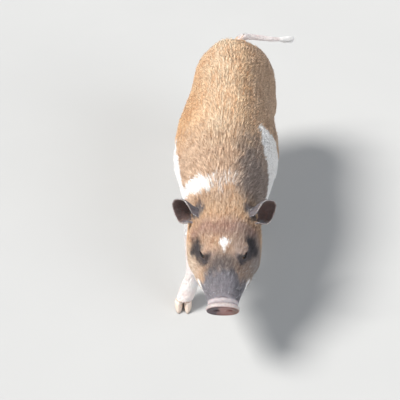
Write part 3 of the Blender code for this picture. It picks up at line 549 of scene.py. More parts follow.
def thin_edges(mesh, normals):
    """How much a thin edge each point is: 1 where the normals round it turn right over."""
    joined = np.empty(len(mesh.edges) * 2, np.int32)
    mesh.edges.foreach_get("vertices", joined)
    first, second = joined.reshape(-1, 2).T
    near, far = np.concatenate([first, second]), np.concatenate([second, first])
    count = np.bincount(near, minlength=len(normals))[:, None]
    mean = normals.copy()
    for _ in range(5):
        mean = np.stack([np.bincount(near, mean[far, k], len(mean)) for k in range(3)], axis=1) / count
    return step(1 - np.linalg.norm(mean, axis=1), 0.05, 0.22)


def set_marks(mesh, marks, repeats=1):
    """Stores the marks of some places, each on as many points of a mesh as belong to it."""
    for column, name in enumerate(MARKS):
        set_numbers(mesh, name, np.repeat(marks[:, column], repeats))


# The marks. Golden also carries painted light on the top of the back; slate, smoke and grizzled also carry
# painted shade on the pig's left side.
MARKS = ["white", "slate", "smoke_and_shade", "grizzled_and_shade", "cream", "russet", "golden_and_lit", "pink"]
WHITE = MARKS.index("white")
rim = thin_edges(skin_mesh, normals)
skin_marks = markings(points, region, rim, normals[:, 1])
set_marks(skin_mesh, skin_marks)
on_disc = is_in(region, "snout_disc")
smoky = skin_marks[:, MARKS.index("smoke_and_shade")]
horny = step(rim, 0.15, 0.60) * is_in(region, *LEGS) * (points[:, 2] < 0.075)
from_disc = points - disc_middle
across, along, above = from_disc[:, 0] / DISC_HALF[0], from_disc @ disc_axis, from_disc @ disc_up
from_disc_middle = np.hypot(across, above / DISC_HALF[1])
lip = step(from_disc_middle, 0.86, 0.94) * step(along - along[on_disc].min(), 0.0004, 0.0018)
# Painted shadow: a dark band just inside the top of the disc's rim, under its lip.
lip_shadow = bell(from_disc_middle - 0.82, 0.09) * step(above, -0.002, 0.008)
# Painted shade: a dark line in the creases over the snout, behind the disc.
wrinkle = 0.0128 + 0.0010 * np.cos(np.arctan2(from_disc[:, 0], from_disc[:, 2]) * 7.0)
crease_shade = bell(along - wrinkle, 0.0011) * np.exp(-((from_disc[:, 0] / 0.0085) ** 4))
crease_shade = np.maximum(crease_shade, 0.6 * bell(along - 0.0056, 0.0010))
for name, values in {
    "bare_ear": is_in(region, *EARS) * (1 - 0.75 * smoky),
    "bare_disc": on_disc,
    "rim": rim,
    "horny": horny,
    "across_disc": across,
    "disc_lip": lip,
    "lip_shadow": lip_shadow,
    "crease_shade": crease_shade * (from_disc[:, 2] > 0) * is_in(region, "head"),
    "behind_lip": (1 - step(along, 0.0090, 0.0145)) * is_in(region, "head"),
}.items():
    set_numbers(skin_mesh, name, values)


class Flow:
    """A socket in a material's nodes. Sums with it add Math nodes, and node() adds any other."""

    def __init__(self, tree, socket=None):
        self.tree = tree
        self.socket = socket

    def node(self, kind, settings=None, sockets=None, output=0):
        made = self.tree.nodes.new(kind)
        for name, value in (settings or {}).items():
            setattr(made, name, value)
        for name, value in (sockets or {}).items():
            self.feed(made.inputs[name], value)
        return Flow(self.tree, made.outputs[output])

    def feed(self, socket, value):
        if isinstance(value, Flow):
            self.tree.links.new(value.socket, socket)
        elif isinstance(value, tuple) and socket.type == "RGBA":
            socket.default_value = (*value, 1.0)
        else:
            socket.default_value = value

    def math(self, operation, *terms):
        return self.node("ShaderNodeMath", {"operation": operation}, dict(enumerate(terms)))

    def __add__(self, other):
        return self.math("ADD", self, other)

    def __sub__(self, other):
        return self.math("SUBTRACT", self, other)

    def __rsub__(self, other):
        return self.math("SUBTRACT", other, self)

    def __mul__(self, other):
        return self.math("MULTIPLY", self, other)

    def __pow__(self, other):
        return self.math("POWER", self, other)

    __radd__ = __add__
    __rmul__ = __mul__

    def held(self):
        """The value kept between 0 and 1."""
        return self.node("ShaderNodeClamp", None, {0: self})

    def rising(self, low, high):
        """0 where the value is low, up to 1 where it is high."""
        return self.node("ShaderNodeMapRange", None, {0: self, 1: low, 2: high})

    def place(self):
        """The place on the piece, in metres."""
        return self.node("ShaderNodeTexCoord", output=3)

    def number(self, name):
        """A number stored on the mesh."""
        return self.node("ShaderNodeAttribute", {"attribute_name": name}, output=2)

    def noise(self, where, scale, detail=3.0, roughness=0.55):
        """Cloudy noise from 0 to 1."""
        sockets = {"Vector": where, "Scale": scale, "Detail": detail, "Roughness": roughness}
        return self.node("ShaderNodeTexNoise", None, sockets)

    def blend(self, share, first, second, kind="MIX"):
        """Two colours mixed by a share."""
        settings = {"data_type": "RGBA", "blend_type": kind}
        return self.node("ShaderNodeMix", settings, {0: share, 6: first, 7: second}, output=2)

    def stretched(self, where, scale):
        """A place with each of its axes multiplied."""
        return self.node("ShaderNodeVectorMath", {"operation": "MULTIPLY"}, {0: where, 1: scale})


def surface(name, **constants):
    """A material, its shader and a Flow in its nodes, with the shader's constant values set."""
    material = bpy.data.materials.new(name)
    material.use_nodes = True
    shader = material.node_tree.nodes["Principled BSDF"]
    for socket, value in constants.items():
        shader.inputs[socket.replace("_", " ")].default_value = value
    return material, shader.inputs, Flow(material.node_tree)


# Each mark covers what is below it by a share, from its darkest tone to its palest. Golden also
# carries painted light, and grizzled, smoke and slate painted shade.
TAN = ((0.520, 0.225, 0.085), (0.920, 0.620, 0.345))
TONES = {
    "golden_and_lit": (0.90, (0.880, 0.550, 0.315), (1.000, 0.870, 0.670)),
    "grizzled_and_shade": (0.80, (0.260, 0.160, 0.110), (0.830, 0.620, 0.470)),
    "russet": (0.85, (0.250, 0.108, 0.074), (0.570, 0.325, 0.250)),
    "cream": (1.0, (0.500, 0.350, 0.235), (0.850, 0.690, 0.530)),
    "smoke_and_shade": (1.0, (0.075, 0.074, 0.092), (0.280, 0.275, 0.315)),
    "slate": (1.0, (0.018, 0.016, 0.020), (0.080, 0.072, 0.079)),
    "white": (1.0, (0.910, 0.885, 0.870), (0.970, 0.965, 0.960)),
}
PINK = (0.950, 0.720, 0.675)


def coat_colour(flow, where, chance):
    """The colour of the coat by its markings, painted light and shade among them, shared by the skin and
    every tuft.
    """
    patch = flow.noise(where, 55.0, 3.0)
    fleck = (chance * 0.95 + patch * 0.35 - 0.10).held()
    colour = flow.blend(fleck, *TAN)
    for mark, (cover, dark, pale) in TONES.items():
        tone = flow.blend(fleck, dark, pale)
        if mark == "white":
            tone = flow.blend(flow.number("pink") * 0.50, tone, PINK)
        colour = flow.blend(flow.number(mark) * cover, colour, tone)
    return colour


def skin_surface():
    """Hide with the coat's markings, pink where the coat is white, and bare on disc and ears, with painted
    shade in the snout's creases and under the disc's upper lip.
    """
    material, shader, flow = surface(
        "pig_hide", Subsurface_Weight=0.12, Subsurface_Scale=0.004, Specular_IOR_Level=0.35
    )
    where = flow.place()

    def cloudy(scale, dark, pale):
        return flow.blend(flow.noise(where, scale, 4.0), dark, pale)

    chance = flow.noise(flow.stretched(where, (420.0, 120.0, 420.0)), 1.0, 2.0)
    blush = flow.blend(flow.number("white"), (0.560, 0.350, 0.235), (0.840, 0.680, 0.630))
    ear = cloudy(90.0, (0.040, 0.024, 0.021), (0.150, 0.088, 0.078))
    ear = flow.blend(flow.number("rim") * 0.80, ear, (0.400, 0.345, 0.330))
    mottle = flow.noise(flow.stretched(where, (1.0, 0.7, 1.0)), 95.0, 4.0, 0.6)
    across = flow.number("across_disc")
    dark_end = (across + mottle * 0.6).rising(0.26, -0.06)
    brown_end = (across - mottle * 0.3).rising(0.30, 0.55)
    disc = flow.blend(mottle, (0.200, 0.088, 0.078), (0.390, 0.205, 0.185))
    disc = flow.blend(brown_end * 0.8, disc, (0.180, 0.095, 0.068))
    disc = flow.blend(dark_end * 0.92, disc, (0.068, 0.046, 0.057))
    lip = cloudy(260.0, (0.270, 0.215, 0.210), (0.600, 0.530, 0.510))
    disc = flow.blend(flow.number("disc_lip"), disc, lip)
    # Painted shadow under the disc's upper lip.
    disc = flow.blend(flow.number("lip_shadow") * 0.85, disc, (0.060, 0.040, 0.042))

    colour = flow.blend(0.30, coat_colour(flow, where, chance), blush)
    for name, cover, tone in (
        ("smoke_and_shade", 0.85, cloudy(130.0, (0.098, 0.090, 0.108), (0.250, 0.235, 0.265))),
        ("slate", 0.90, cloudy(130.0, (0.022, 0.018, 0.021), (0.080, 0.068, 0.075))),
        ("bare_ear", 1.0, ear),
        ("horny", 1.0, (0.560, 0.430, 0.340)),
        ("behind_lip", 1.0, cloudy(210.0, (0.280, 0.245, 0.262), (0.560, 0.500, 0.505))),
        # Painted shade in the snout's creases.
        ("crease_shade", 0.75, (0.052, 0.042, 0.050)),
        ("bare_disc", 1.0, disc),
    ):
        colour = flow.blend(flow.number(name) * cover, colour, tone)
    flow.feed(shader["Base Color"], colour)
    wet = flow.number("bare_disc") * 0.26
    flow.feed(shader["Roughness"], 0.62 - wet + flow.noise(where, 300.0) * 0.10)
    pores = flow.node("ShaderNodeTexVoronoi", None, {"Vector": where, "Scale": 900.0})
    creases = flow.noise(where, 420.0, 5.0, 0.65)
    grain = creases * 0.7 + pores * 0.5
    bump = flow.node("ShaderNodeBump", None, {"Strength": 0.35, "Distance": 0.0008, "Height": grain})
    flow.feed(shader["Normal"], bump)
    return material


skin_mesh.materials.append(skin_surface())
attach(skin, "root")
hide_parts(*REGIONS)

# The coat. Short coarse bristle over the whole animal, each tuft a thin solid blade rooted in the
# skin that bends along the lie: backwards over trunk and neck, up from the snout over the face,
# down the legs, out along ears and tail. Shortest on face, ears and feet.
HALF_PATCH = 0.0015
FACE_END = 0.085
TRUNK_PIECES = 5
ROOT_DEPTH = 0.0005
WIDEST = 0.4
LEAST_LIFT = 0.0002

# The coat of each part: its length, its width, how high its tips stand, and its tufts for each
# square metre. On the head each of these changes over the distance behind the snout.
TRUNK_COAT = (0.0125, 0.00072, 0.0012, 810_000)
LEG_COAT = (0.0046, 0.00056, 0.0003, 950_000)
EAR_COAT = (0.0042, 0.00034, 0.0005, 1_000_000)
TAIL_COAT = (0.0080, 0.00055, 0.0008, 1_100_000)
HEAD_BACK = (0.010, 0.030, 0.055, 0.090, 0.125, 0.155)
HEAD_COAT = (
    (0.0024, 0.0032, 0.0046, 0.0075, 0.0105, 0.0130),
    (0.00027, 0.00030, 0.00036, 0.00045, 0.00055, 0.00063),
    (0.0003, 0.0004, 0.0006, 0.0010, 0.0015, 0.0017),
    (1_250_000, 1_900_000, 2_020_000, 1_580_000, 1_140_000, 890_000),
)
LENGTH_SPREAD, WIDTH_SPREAD, LIFT_SPREAD = (0.72, 1.18), (0.70, 1.35), (0.65, 1.15)
STRAYS, STRAY_LIFT = 0.06, 1.3


def coat_plan(where, normal, area):
    """The length and width of the tufts, how high their tips stand and how densely they grow."""
    side, back, height = places(where)
    near = nearest(where, EYES)
    trunk, head, leg = is_in(area, "torso", "neck"), is_in(area, "head"), is_in(area, *LEGS)
    ear, tail = is_in(area, *EARS), is_in(area, "tail")
    top = np.clip(normal[:, 2], 0, 1) * bell(side, 0.030)
    nape = top * step(back, 0.145, 0.165) * (1 - step(back, 0.215, 0.260))
    low = step(height, 0.010, 0.060)
    in_ear = ear & (normal[:, 1] < -0.15)

    length, width, lift, density = (
        np.select([trunk, leg, ear, tail, head], [*parts, np.interp(back, HEAD_BACK, on_head)], 0.0)
        for *parts, on_head in zip(TRUNK_COAT, LEG_COAT, EAR_COAT, TAIL_COAT, HEAD_COAT)
    )

    # Longer and more upright along the top, above all on the nape, and longer up the legs.
    length += 0.0045 * top * trunk + 0.0044 * low * leg
    width += 0.00016 * low * leg
    lift += 0.0012 * (top + nape) * trunk + 0.0012 * top * step(back, 0.09, 0.13) * head
    lift += 0.0002 * low * leg

    # Shorter and finer round the eyes and at the ears' roots, thin inside the ears, and none on the
    # eyes, the soles and the bare end of the snout.
    density *= np.where(in_ear, 0.35, 1.0)
    at_eye = step(near, 0.0125, 0.0240)
    length *= np.where(head, 0.38 + 0.62 * at_eye, 1)
    width *= np.where(head, 0.62 + 0.38 * at_eye, 1)
    lift *= np.where(head, 0.40 + 0.60 * at_eye, 1)
    in_cup = head & (nearest(where, EAR_ROOTS) < 0.011)
    length *= np.where(in_cup, 0.45, 1)
    density *= near > 0.0108
    density *= ~(leg & (normal[:, 2] < -0.75) & (height < 0.020))
    bare_depth = 0.0110 + 0.0048 * np.exp(-((side / 0.0085) ** 4)) * (height > disc_middle[2])
    density *= ~(head & ((where - disc_middle) @ disc_axis < bare_depth))
    return length, width, lift, density


def coat_lie(where, normal, area):
    """The way the coat lies at each place, along the skin."""
    side, _, height = places(where)
    lie = np.stack([np.sign(side) * 0.22 * step(abs(side), 0.0, 0.05), np.ones(len(side)),
                    -0.42 * np.ones(len(side))], axis=1)
    is_head, is_leg = is_in(area, "head"), is_in(area, *LEGS)
    nose = np.array((MIDLINE, SNOUT - 0.020, 0.108))
    from_nose = unit(where - nose)
    from_nose[:, 2] -= 0.30 * step(abs(side), 0.028, 0.050)
    lie = np.where(is_head[:, None], from_nose, lie)
    lie = np.where(is_leg[:, None], np.array((0, 0.28, -1.0)), lie)
    upper_leg = (~is_leg & ~is_head) * (1 - step(height, 0.095, 0.150)) * (abs(normal[:, 0]) > 0.3)
    lie[:, 2] -= 1.1 * upper_leg
    for sign, name in zip((-1, 1), EARS):
        lie = np.where(is_in(area, name)[:, None], np.array((sign * 0.86, 0.17, 0.48)), lie)
    rising = 1 - step(side, 0.016, 0.034)
    tail_lie = np.array((1.0, 0.0, -0.05)) + np.array((-0.7, 0.6, 0.7)) * rising[:, None]
    lie = np.where(is_in(area, "tail")[:, None], tail_lie, lie)
    lie = unit(lie - normal * np.sum(lie * normal, axis=1, keepdims=True))
    turn = 0.09 * ripple(where, 0.045, 21) + 0.03 * ripple(where, 0.010, 22)
    turn += dice.normal(0, 0.055, len(where))
    turn *= np.where(is_leg, 0.6, 1.0)
    return unit(lie * np.cos(turn)[:, None] + np.cross(normal, lie) * np.sin(turn)[:, None])


def on_skin(where):
    """The nearest place on the skin and its normal there, for each point."""
    found = [skin_tree.find_nearest(p) for p in where]
    return np.array([f[0] for f in found]), np.array([f[1] for f in found])


triangles = np.array(polygons)
corners = points[triangles]
face_cross = np.cross(corners[:, 1] - corners[:, 0], corners[:, 2] - corners[:, 0])
face_area = np.linalg.norm(face_cross, axis=1) / 2
face_normal = unit(face_cross)
face_region = region[triangles[:, 0]]
face_middle = corners.mean(axis=1)
*_, face_density = coat_plan(face_middle, face_normal, face_region)
face_horny = horny[triangles].mean(axis=1)


def scatter(chosen, thickness=1.0):
    """Random roots on the chosen faces, as many as the coat is dense there, times a thickness."""
    wanted = face_area * face_density * (1 - face_horny) * chosen * thickness
    count = int(wanted.sum())
    faces = dice.choice(len(wanted), count, p=wanted / wanted.sum())
    a, b = dice.random(count), dice.random(count)
    flip = a + b > 1
    a[flip], b[flip] = 1 - a[flip], 1 - b[flip]
    weights = np.stack([1 - a - b, a, b], axis=1)[:, :, None]
    where = (corners[faces] * weights).sum(axis=1)
    normal = unit((normals[triangles[faces]] * weights).sum(axis=1))
    return where, normal, face_region[faces], rim[triangles[faces]].mean(axis=1)


BODY_LENGTH, LEG_HEIGHT = 0.54, 0.125


def unwrap(where, area):
    """A place on a flat layout of the skin: round the body's line across, along it upwards."""
    side, back, height = places(where)
    axis_height = np.interp(back, [0, 0.15, 0.25, 0.53], [0.112, 0.135, 0.150, 0.175])
    u = np.arctan2(side, height - axis_height) / math.tau + 0.5
    v = back / BODY_LENGTH
    for index, name in enumerate(LEGS):
        low, high = np.array(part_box(name))
        mine = is_in(area, name)
        middle = (low + high) / 2
        turn = np.arctan2(where[:, 0] - middle[0], where[:, 1] - middle[1]) / math.tau + 0.5
        u = np.where(mine, (index + 0.05 + 0.9 * turn) / 4, u)
        v = np.where(mine, height / LEG_HEIGHT, v)
    for index, name in enumerate(EARS):
        low, high = np.array(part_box(name))
        mine = is_in(area, name)
        outer = where[:, 1] > (low[1] + high[1]) / 2
        across = (where[:, 0] - low[0]) / (high[0] - low[0])
        u = np.where(mine, (index * 2 + outer + 0.05 + 0.9 * across) / 4, u)
        v = np.where(mine, (where[:, 2] - low[2]) / (high[2] - low[2]), v)
    low, high = np.array(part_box("tail"))
    mine = is_in(area, "tail")
    turn = np.arctan2(where[:, 1] - high[1] + 0.006, where[:, 2] - low[2] - 0.006)
    u = np.where(mine, turn / math.tau + 0.5, u)
    v = np.where(mine, (where[:, 0] - low[0]) / (high[0] - low[0]), v)
    return 0.01 + 0.98 * np.clip(np.stack([u, v], axis=1), 0, 1)


def coat_piece(name, mesh, flat, faces):
    """Finishes a piece of the coat: its OFBake map, its material and its place on the pig."""
    mesh.shade_smooth()
    layer = mesh.uv_layers.new(name="OFBake")
    layer.uv.foreach_set("vector", flat[faces.ravel()].astype(np.float32).ravel())
    mesh.materials.append(bristle)
    made = put_in_scene(name, mesh)
    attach(made, "root")


def blades(name, where, normal, area, lie, length, width, lift, marks, chance):
    """Tufts as one mesh: three-sided blades that bend over the skin, pointed at both ends."""
    count = len(where)
    halfway, half_normal = on_skin((where + lie * (length * WIDEST)[:, None]).tolist())
    ahead, end_normal = on_skin((where + lie * length[:, None]).tolist())
    middle = halfway + half_normal * (lift * 0.55)[:, None]
    tip = ahead + end_normal * lift[:, None]
    half = unit(np.cross(normal, lie)) * (width / 2)[:, None]
    ridge = middle + half_normal * (width * (0.35 - 0.12 * marks[:, WHITE]))[:, None]
    vertices = np.stack([where - normal * ROOT_DEPTH, middle - half, middle + half, ridge, tip], axis=1)
    vertices = np.clip(vertices.reshape(-1, 3), cad_low, cad_high)
    one = [face for a, b in ((1, 2), (2, 3), (3, 1)) for face in ((b, a, 0), (a, b, 4))]
    faces = (np.array(one)[None] + 5 * np.arange(count)[:, None, None]).reshape(-1, 3)
    mesh = bpy.data.meshes.new(name)
    mesh.vertices.add(len(vertices))
    mesh.vertices.foreach_set("co", vertices.astype(np.float32).ravel())
    mesh.loops.add(faces.size)
    mesh.loops.foreach_set("vertex_index", faces.astype(np.int32).ravel())
    mesh.polygons.add(len(faces))
    mesh.polygons.foreach_set("loop_start", np.arange(0, faces.size, 3, dtype=np.int32))
    mesh.update(calc_edges=True)
    set_numbers(mesh, "along", np.tile([0, WIDEST, WIDEST, WIDEST, 1.0], count))
    set_numbers(mesh, "chance", np.repeat(chance, 5))
    set_marks(mesh, marks, 5)
    spot = np.array([(0, -1), (-1, 0), (1, 0), (0, 0.2), (0, 1)]) * HALF_PATCH
    flat = (unwrap(where, area)[:, None, :] + spot[None]).reshape(-1, 2)
    coat_piece(name, mesh, flat, faces)


def coat_surface():
    """Bristle: the markings' colour, darker at the root, bleached towards the tip."""
    material, shader, flow = surface("bristle_coat", Specular_IOR_Level=0.30)
    where = flow.place()
    along, chance = flow.number("along"), flow.number("chance")
    colour = coat_colour(flow, where, chance)
    white = flow.number("white")
    root = flow.blend(white, (0.76, 0.67, 0.61), (0.92, 0.89, 0.88))
    deep = flow.blend(1.0, colour, root, "MULTIPLY")
    colour = flow.blend((along * 2.4 + 0.05).held(), deep, colour)
    bleached = (along ** 2.0) * (chance * 0.28 + 0.04) * (1 - flow.number("slate") * 0.75)
    pale = flow.blend(white, (0.900, 0.800, 0.680), (0.960, 0.955, 0.950))
    colour = flow.blend(bleached.held(), colour, pale)
    flow.feed(shader["Base Color"], colour)
    flow.feed(shader["Roughness"], 0.48 + chance * 0.20)
    return material


bristle = coat_surface()


def streaks(where, area):
    """Lighter and darker strands about zero, drawn out along the lie."""
    stretch = np.where(is_in(area, *LEGS)[:, None], (1.0, 1.0, 0.10), (1.0, 0.10, 1.0))
    return 0.8 * ripple(where * stretch, 0.0046, 41) + 0.7 * ripple(where * stretch, 0.0023, 42)


def lay_coat(name, chosen):
    """One piece of the coat over the chosen faces."""
    where, normal, area, edge = scatter(chosen)
    length, width, lift, _ = coat_plan(where, normal, area)
    lie = coat_lie(where, normal, area)
    count = len(where)
    strand = streaks(where, area)
    clump = 1 + 0.08 * ripple(where, 0.011, 31) + 0.14 * strand
    length = length * dice.uniform(*LENGTH_SPREAD, count)
    width = width * dice.uniform(*WIDTH_SPREAD, count)
    stray = 1 + STRAY_LIFT * (dice.random(count) < STRAYS)
    lift = np.maximum(lift * clump * stray * dice.uniform(*LIFT_SPREAD, count), LEAST_LIFT)
    marks = markings(where + dice.normal(0, 0.0010, (count, 3)), area, edge, normal[:, 1])
    bold = (marks[:, WHITE] > dice.uniform(0.25, 0.75, count)).astype(float)
    marks[:, WHITE] = np.where(is_in(area, "head"), bold, np.maximum(bold, marks[:, WHITE] * 0.25))
    lift = np.maximum(lift * (1 - 0.35 * marks[:, WHITE]), LEAST_LIFT)
    chance = np.clip(0.5 + 0.22 * strand + dice.uniform(-0.32, 0.32, count), 0, 1)
    blades(name, where, normal, area, lie, length, width, lift, marks, chance)


face_back = face_middle[:, 1] - SNOUT
on_trunk = is_in(face_region, "torso", "neck")
trunk_order = np.argsort(np.where(on_trunk, face_back, 9.0))
trunk_area = np.cumsum(face_area[trunk_order] * on_trunk[trunk_order])
cuts = trunk_area[-1] * np.arange(1, TRUNK_PIECES) / TRUNK_PIECES
trunk_ends = [-1.0, *face_back[trunk_order[np.searchsorted(trunk_area, cuts)]], 9.0]
for number, (first, last) in enumerate(zip(trunk_ends, trunk_ends[1:]), 1):
    lay_coat(f"coat_trunk_{number}", on_trunk & (face_back >= first) & (face_back < last))
on_head = is_in(face_region, "head")
lay_coat("coat_face", on_head & (face_back < FACE_END))
lay_coat("coat_poll_and_cheeks", on_head & (face_back >= FACE_END))
lay_coat("coat_ears", is_in(face_region, *EARS))
lay_coat("coat_legs", is_in(face_region, *LEGS))
lay_coat("coat_tail", is_in(face_region, "tail"))

# The eyes. Small and deep set, dark brown to black, each a ball with a raised clear front, made
# as rings about the way it looks, a hair smaller than the solid it stands for. What shows of it
# reaches out to FRONT_ANGLE from the line of sight.
EYE_RADIUS = 0.0090
CORNEA_RADIUS = 0.0058
CORNEA_RISE = 0.0007
EYE_RINGS, EYE_SIDES = 40, 48
FRONT_ANGLE = 1.5


def eye_surface():
    """Dark brown iris with rays round a black pupil, under a wet clear front."""
    material, shader, flow = surface(
        "eye_wet", Roughness=0.30, Coat_Weight=1.0, Coat_Roughness=0.02, Specular_IOR_Level=0.10
    )
    where = flow.place()
    out = flow.number("from_middle")
    rays = flow.noise(where, 1400.0, 4.0)
    iris = flow.blend(rays, (0.022, 0.010, 0.005), (0.120, 0.055, 0.024))
    colour = flow.blend(out.rising(0.26, 0.31), (0.002, 0.002, 0.002), iris)
    colour = flow.blend(out.rising(0.50, 0.60), colour, (0.030, 0.018, 0.014))
    flow.feed(shader["Base Color"], colour)
    return material


def eyeball(name, centre, looks):
    """A ball of rings about its line of sight, with the clear front swelling out."""
    looks = unit(looks)
    across = unit(np.cross(looks, (0, 0, 1)))
    up = np.cross(looks, across)
    vertices, outs = [centre + looks * (EYE_RADIUS + CORNEA_RISE)], [0.0]
    for ring in range(1, EYE_RINGS):
        angle = math.pi * ring / EYE_RINGS
        distance = EYE_RADIUS * math.sin(angle)
        rise = CORNEA_RISE * max(0.0, 1 - (distance / CORNEA_RADIUS) ** 2) * (angle < FRONT_ANGLE)
        for k in range(EYE_SIDES):
            turn = math.tau * k / EYE_SIDES
            outward = across * math.cos(turn) + up * math.sin(turn)
            vertices.append(centre + looks * (EYE_RADIUS * math.cos(angle) + rise) + outward * distance)
            outs.append(angle / FRONT_ANGLE)
    vertices.append(centre - looks * EYE_RADIUS)
    outs.append(2.0)
    last = 1 + (EYE_RINGS - 2) * EYE_SIDES
    faces = []
    for k in range(EYE_SIDES):
        n = (k + 1) % EYE_SIDES
        faces += [(0, 1 + k, 1 + n), (len(vertices) - 1, last + n, last + k)]
        for a in range(1, last, EYE_SIDES):
            faces.append((a + k, a + EYE_SIDES + k, a + EYE_SIDES + n, a + n))
    mesh = bpy.data.meshes.new(name)
    mesh.from_pydata([tuple(v) for v in vertices], [], faces)
    mesh.shade_smooth()
    set_numbers(mesh, "from_middle", np.array(outs))
    return put_in_scene(name, mesh)


eye_wet = eye_surface()
for label, centre, looks in zip(("right", "left"), EYES, EYE_LOOKS):
    eye = eyeball(f"eyeball_{label}", centre, looks)
    eye.data.materials.append(eye_wet)
    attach(eye, "root")
    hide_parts(f"eye_{label}")

# The claws. Two hooves of pinkish tan horn on each foot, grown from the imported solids: their
# facets are fused and softened, and growth rings run round the wall.
CLAW_GRAIN = 0.0007
SOLE = 0.0009


def horn_surface():
    """Horn in pinkish tan, banded by its growth, pinker at its top and soiled at the sole."""
    material, shader, flow = surface("hoof_horn", Specular_IOR_Level=0.45, Subsurface_Weight=0.05)
    where = flow.place()
    height = flow.node("ShaderNodeSeparateXYZ", None, {0: where}, output=2)
    wander = flow.noise(where, 160.0)
    bands = flow.math("SINE", height * 4200.0 + wander * 7.0) * 0.5 + 0.5
    fibres = flow.noise(flow.stretched(where, (900.0, 900.0, 60.0)), 1.0)
    tone = (bands * 0.25 + fibres * 0.85).held()
    colour = flow.blend(tone, (0.540, 0.410, 0.330), (0.840, 0.720, 0.630))
    soil = (height + wander * 0.004).rising(0.0065, 0.0015)
    top = (height + wander * 0.003).rising(0.0135, 0.0175)
    colour = flow.blend(top, colour, (0.860, 0.715, 0.655))
    colour = flow.blend(soil * 0.65, colour, (0.120, 0.088, 0.062))
    flow.feed(shader["Base Color"], colour)
    flow.feed(shader["Roughness"], 0.40 + fibres * 0.25)
    relief = bands * 0.5 + fibres * 0.4
    bump = flow.node("ShaderNodeBump", None, {"Strength": 0.4, "Distance": 0.0004, "Height": relief})
    flow.feed(shader["Normal"], bump)
    return material


horn = horn_surface()
for node_name in sorted(n for n in nodes if n.startswith("claw_")):
    hoof_points, _, hoof_polygons = welded(node_name)
    mesh = bpy.data.meshes.new(node_name.replace("claw", "hoof"))
    mesh.from_pydata(hoof_points.tolist(), [], hoof_polygons)
    hoof = put_in_scene(mesh.name, mesh)
    fuse(hoof, CLAW_GRAIN)
    round_off = hoof.modifiers.new("round_off", "SMOOTH")
    round_off.factor = 0.5
    round_off.iterations = 6
    mesh = finished_mesh(hoof)
    hoof.modifiers.clear()
    hoof.data = mesh
    hoof_points, _, _ = arrays(mesh)
    hoof_points[:, 2] = np.where(hoof_points[:, 2] < SOLE, 0.0001, hoof_points[:, 2])
    hoof_points = np.clip(hoof_points, *np.array(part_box(node_name)))
    mesh.vertices.foreach_set("co", hoof_points.astype(np.float32).ravel())
    mesh.materials.append(horn)
    mesh.shade_smooth()
    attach(hoof, "root")
    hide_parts(node_name)

# Long single bristles. Dark lashes over each eye, pale whiskers on snout, chin and cheeks, and the
# tuft at the end of the tail, each hair a fine tapered tube that droops from its root.
HAIR_STEPS = 5
HAIR_PATCH = 0.0012
HAIR_ROOT = 0.0004
LASHES_IN_ROW = 26
LASH_ROWS = (0.0040, 0.0048)
LID_HALF = 0.0072
LASH_LENGTH, WHISKER_LENGTH, TAIL_HAIR_LENGTH = (0.0045, 0.0070), (0.005, 0.011), (0.014, 0.026)
LASH_THICKNESS, WHISKER_THICKNESS, TAIL_HAIR_THICKNESS = 0.00022, 0.00020, 0.00050
WHISKERS_END = 0.075
TAIL_TUFT = 0.030
WHITE_HAIR = {"white": 1.0}
DARK_HAIR = {"slate": 0.9}


def hairs(name, roots, ways, lengths, thickness, droop, shade):
    """Fine three-sided tapered tubes, bent by their own weight."""
    roots, ways = np.array(roots), unit(np.array(ways))
    count = len(roots)
    across = unit(np.cross(ways, np.array((0.13, 0.21, 0.97))))
    up = np.cross(across, ways)
    rows = []
    for k in range(HAIR_STEPS):
        t = k / HAIR_STEPS
        centre = roots + ways * (lengths * t)[:, None] + droop * (lengths * t * t)[:, None]
        radius = thickness / 2 * (1 - t) ** 0.7
        for corner in range(3):
            turn = math.tau * corner / 3
            rows.append(centre + (across * math.cos(turn) + up * math.sin(turn)) * radius)
    rows.append(roots + ways * lengths[:, None] + droop * lengths[:, None])
    size = len(rows)
    vertices = np.clip(np.stack(rows, axis=1).reshape(-1, 3), cad_low, cad_high)
    sides = ((0, 1), (1, 2), (2, 0))
    one = [(0, 1, 2)]
    for k in range(0, size - 4, 3):
        for a, b in sides:
            one += [(k + b, k + a, k + b + 3), (k + b + 3, k + a, k + a + 3)]
    one += [(size - 4 + b, size - 4 + a, size - 1) for a, b in sides]
    faces = (np.array(one)[None] + size * np.arange(count)[:, None, None]).reshape(-1, 3)
    mesh = bpy.data.meshes.new(name)
    mesh.from_pydata(vertices.tolist(), [], faces.tolist())
    along = np.repeat(np.arange(HAIR_STEPS + 1) / HAIR_STEPS, [3] * HAIR_STEPS + [1])
    set_numbers(mesh, "along", np.tile(along, count))
    set_numbers(mesh, "chance", np.repeat(dice.random(count), size))
    set_marks(mesh, np.array([[shade.get(mark, 0.0) for mark in MARKS]]), count * size)
    flat = np.repeat(unwrap(roots, nearest_region(roots.tolist())), size, axis=0)
    spot = [(HAIR_PATCH * math.cos(i), HAIR_PATCH * math.sin(i)) for i in range(size)]
    flat = flat + np.tile(spot, (count, 1))
    coat_piece(name, mesh, flat, faces)


roots, ways = [], []
for eye, eye_looks, corner in zip(EYES, EYE_LOOKS, EYE_CORNERS):
    looks, along, up = eye_axes(eye_looks, corner)
    for row, rise in enumerate(LASH_ROWS):
        for k in range(LASHES_IN_ROW):
            t = -1 + 2 * (k + 0.5 * row) / (LASHES_IN_ROW - 1)
            roots.append(eye + along * t * LID_HALF + up * (rise * (1 - 0.55 * t * t)) + looks * 0.0098)
            ways.append(looks * 0.9 + along * 0.45 * t + up * 0.55 + dice.normal(0, 0.07, 3))
hairs("lashes", roots, ways, dice.uniform(*LASH_LENGTH, len(roots)), LASH_THICKNESS,
      droop=np.array((0, 0, -0.35)), shade=DARK_HAIR)

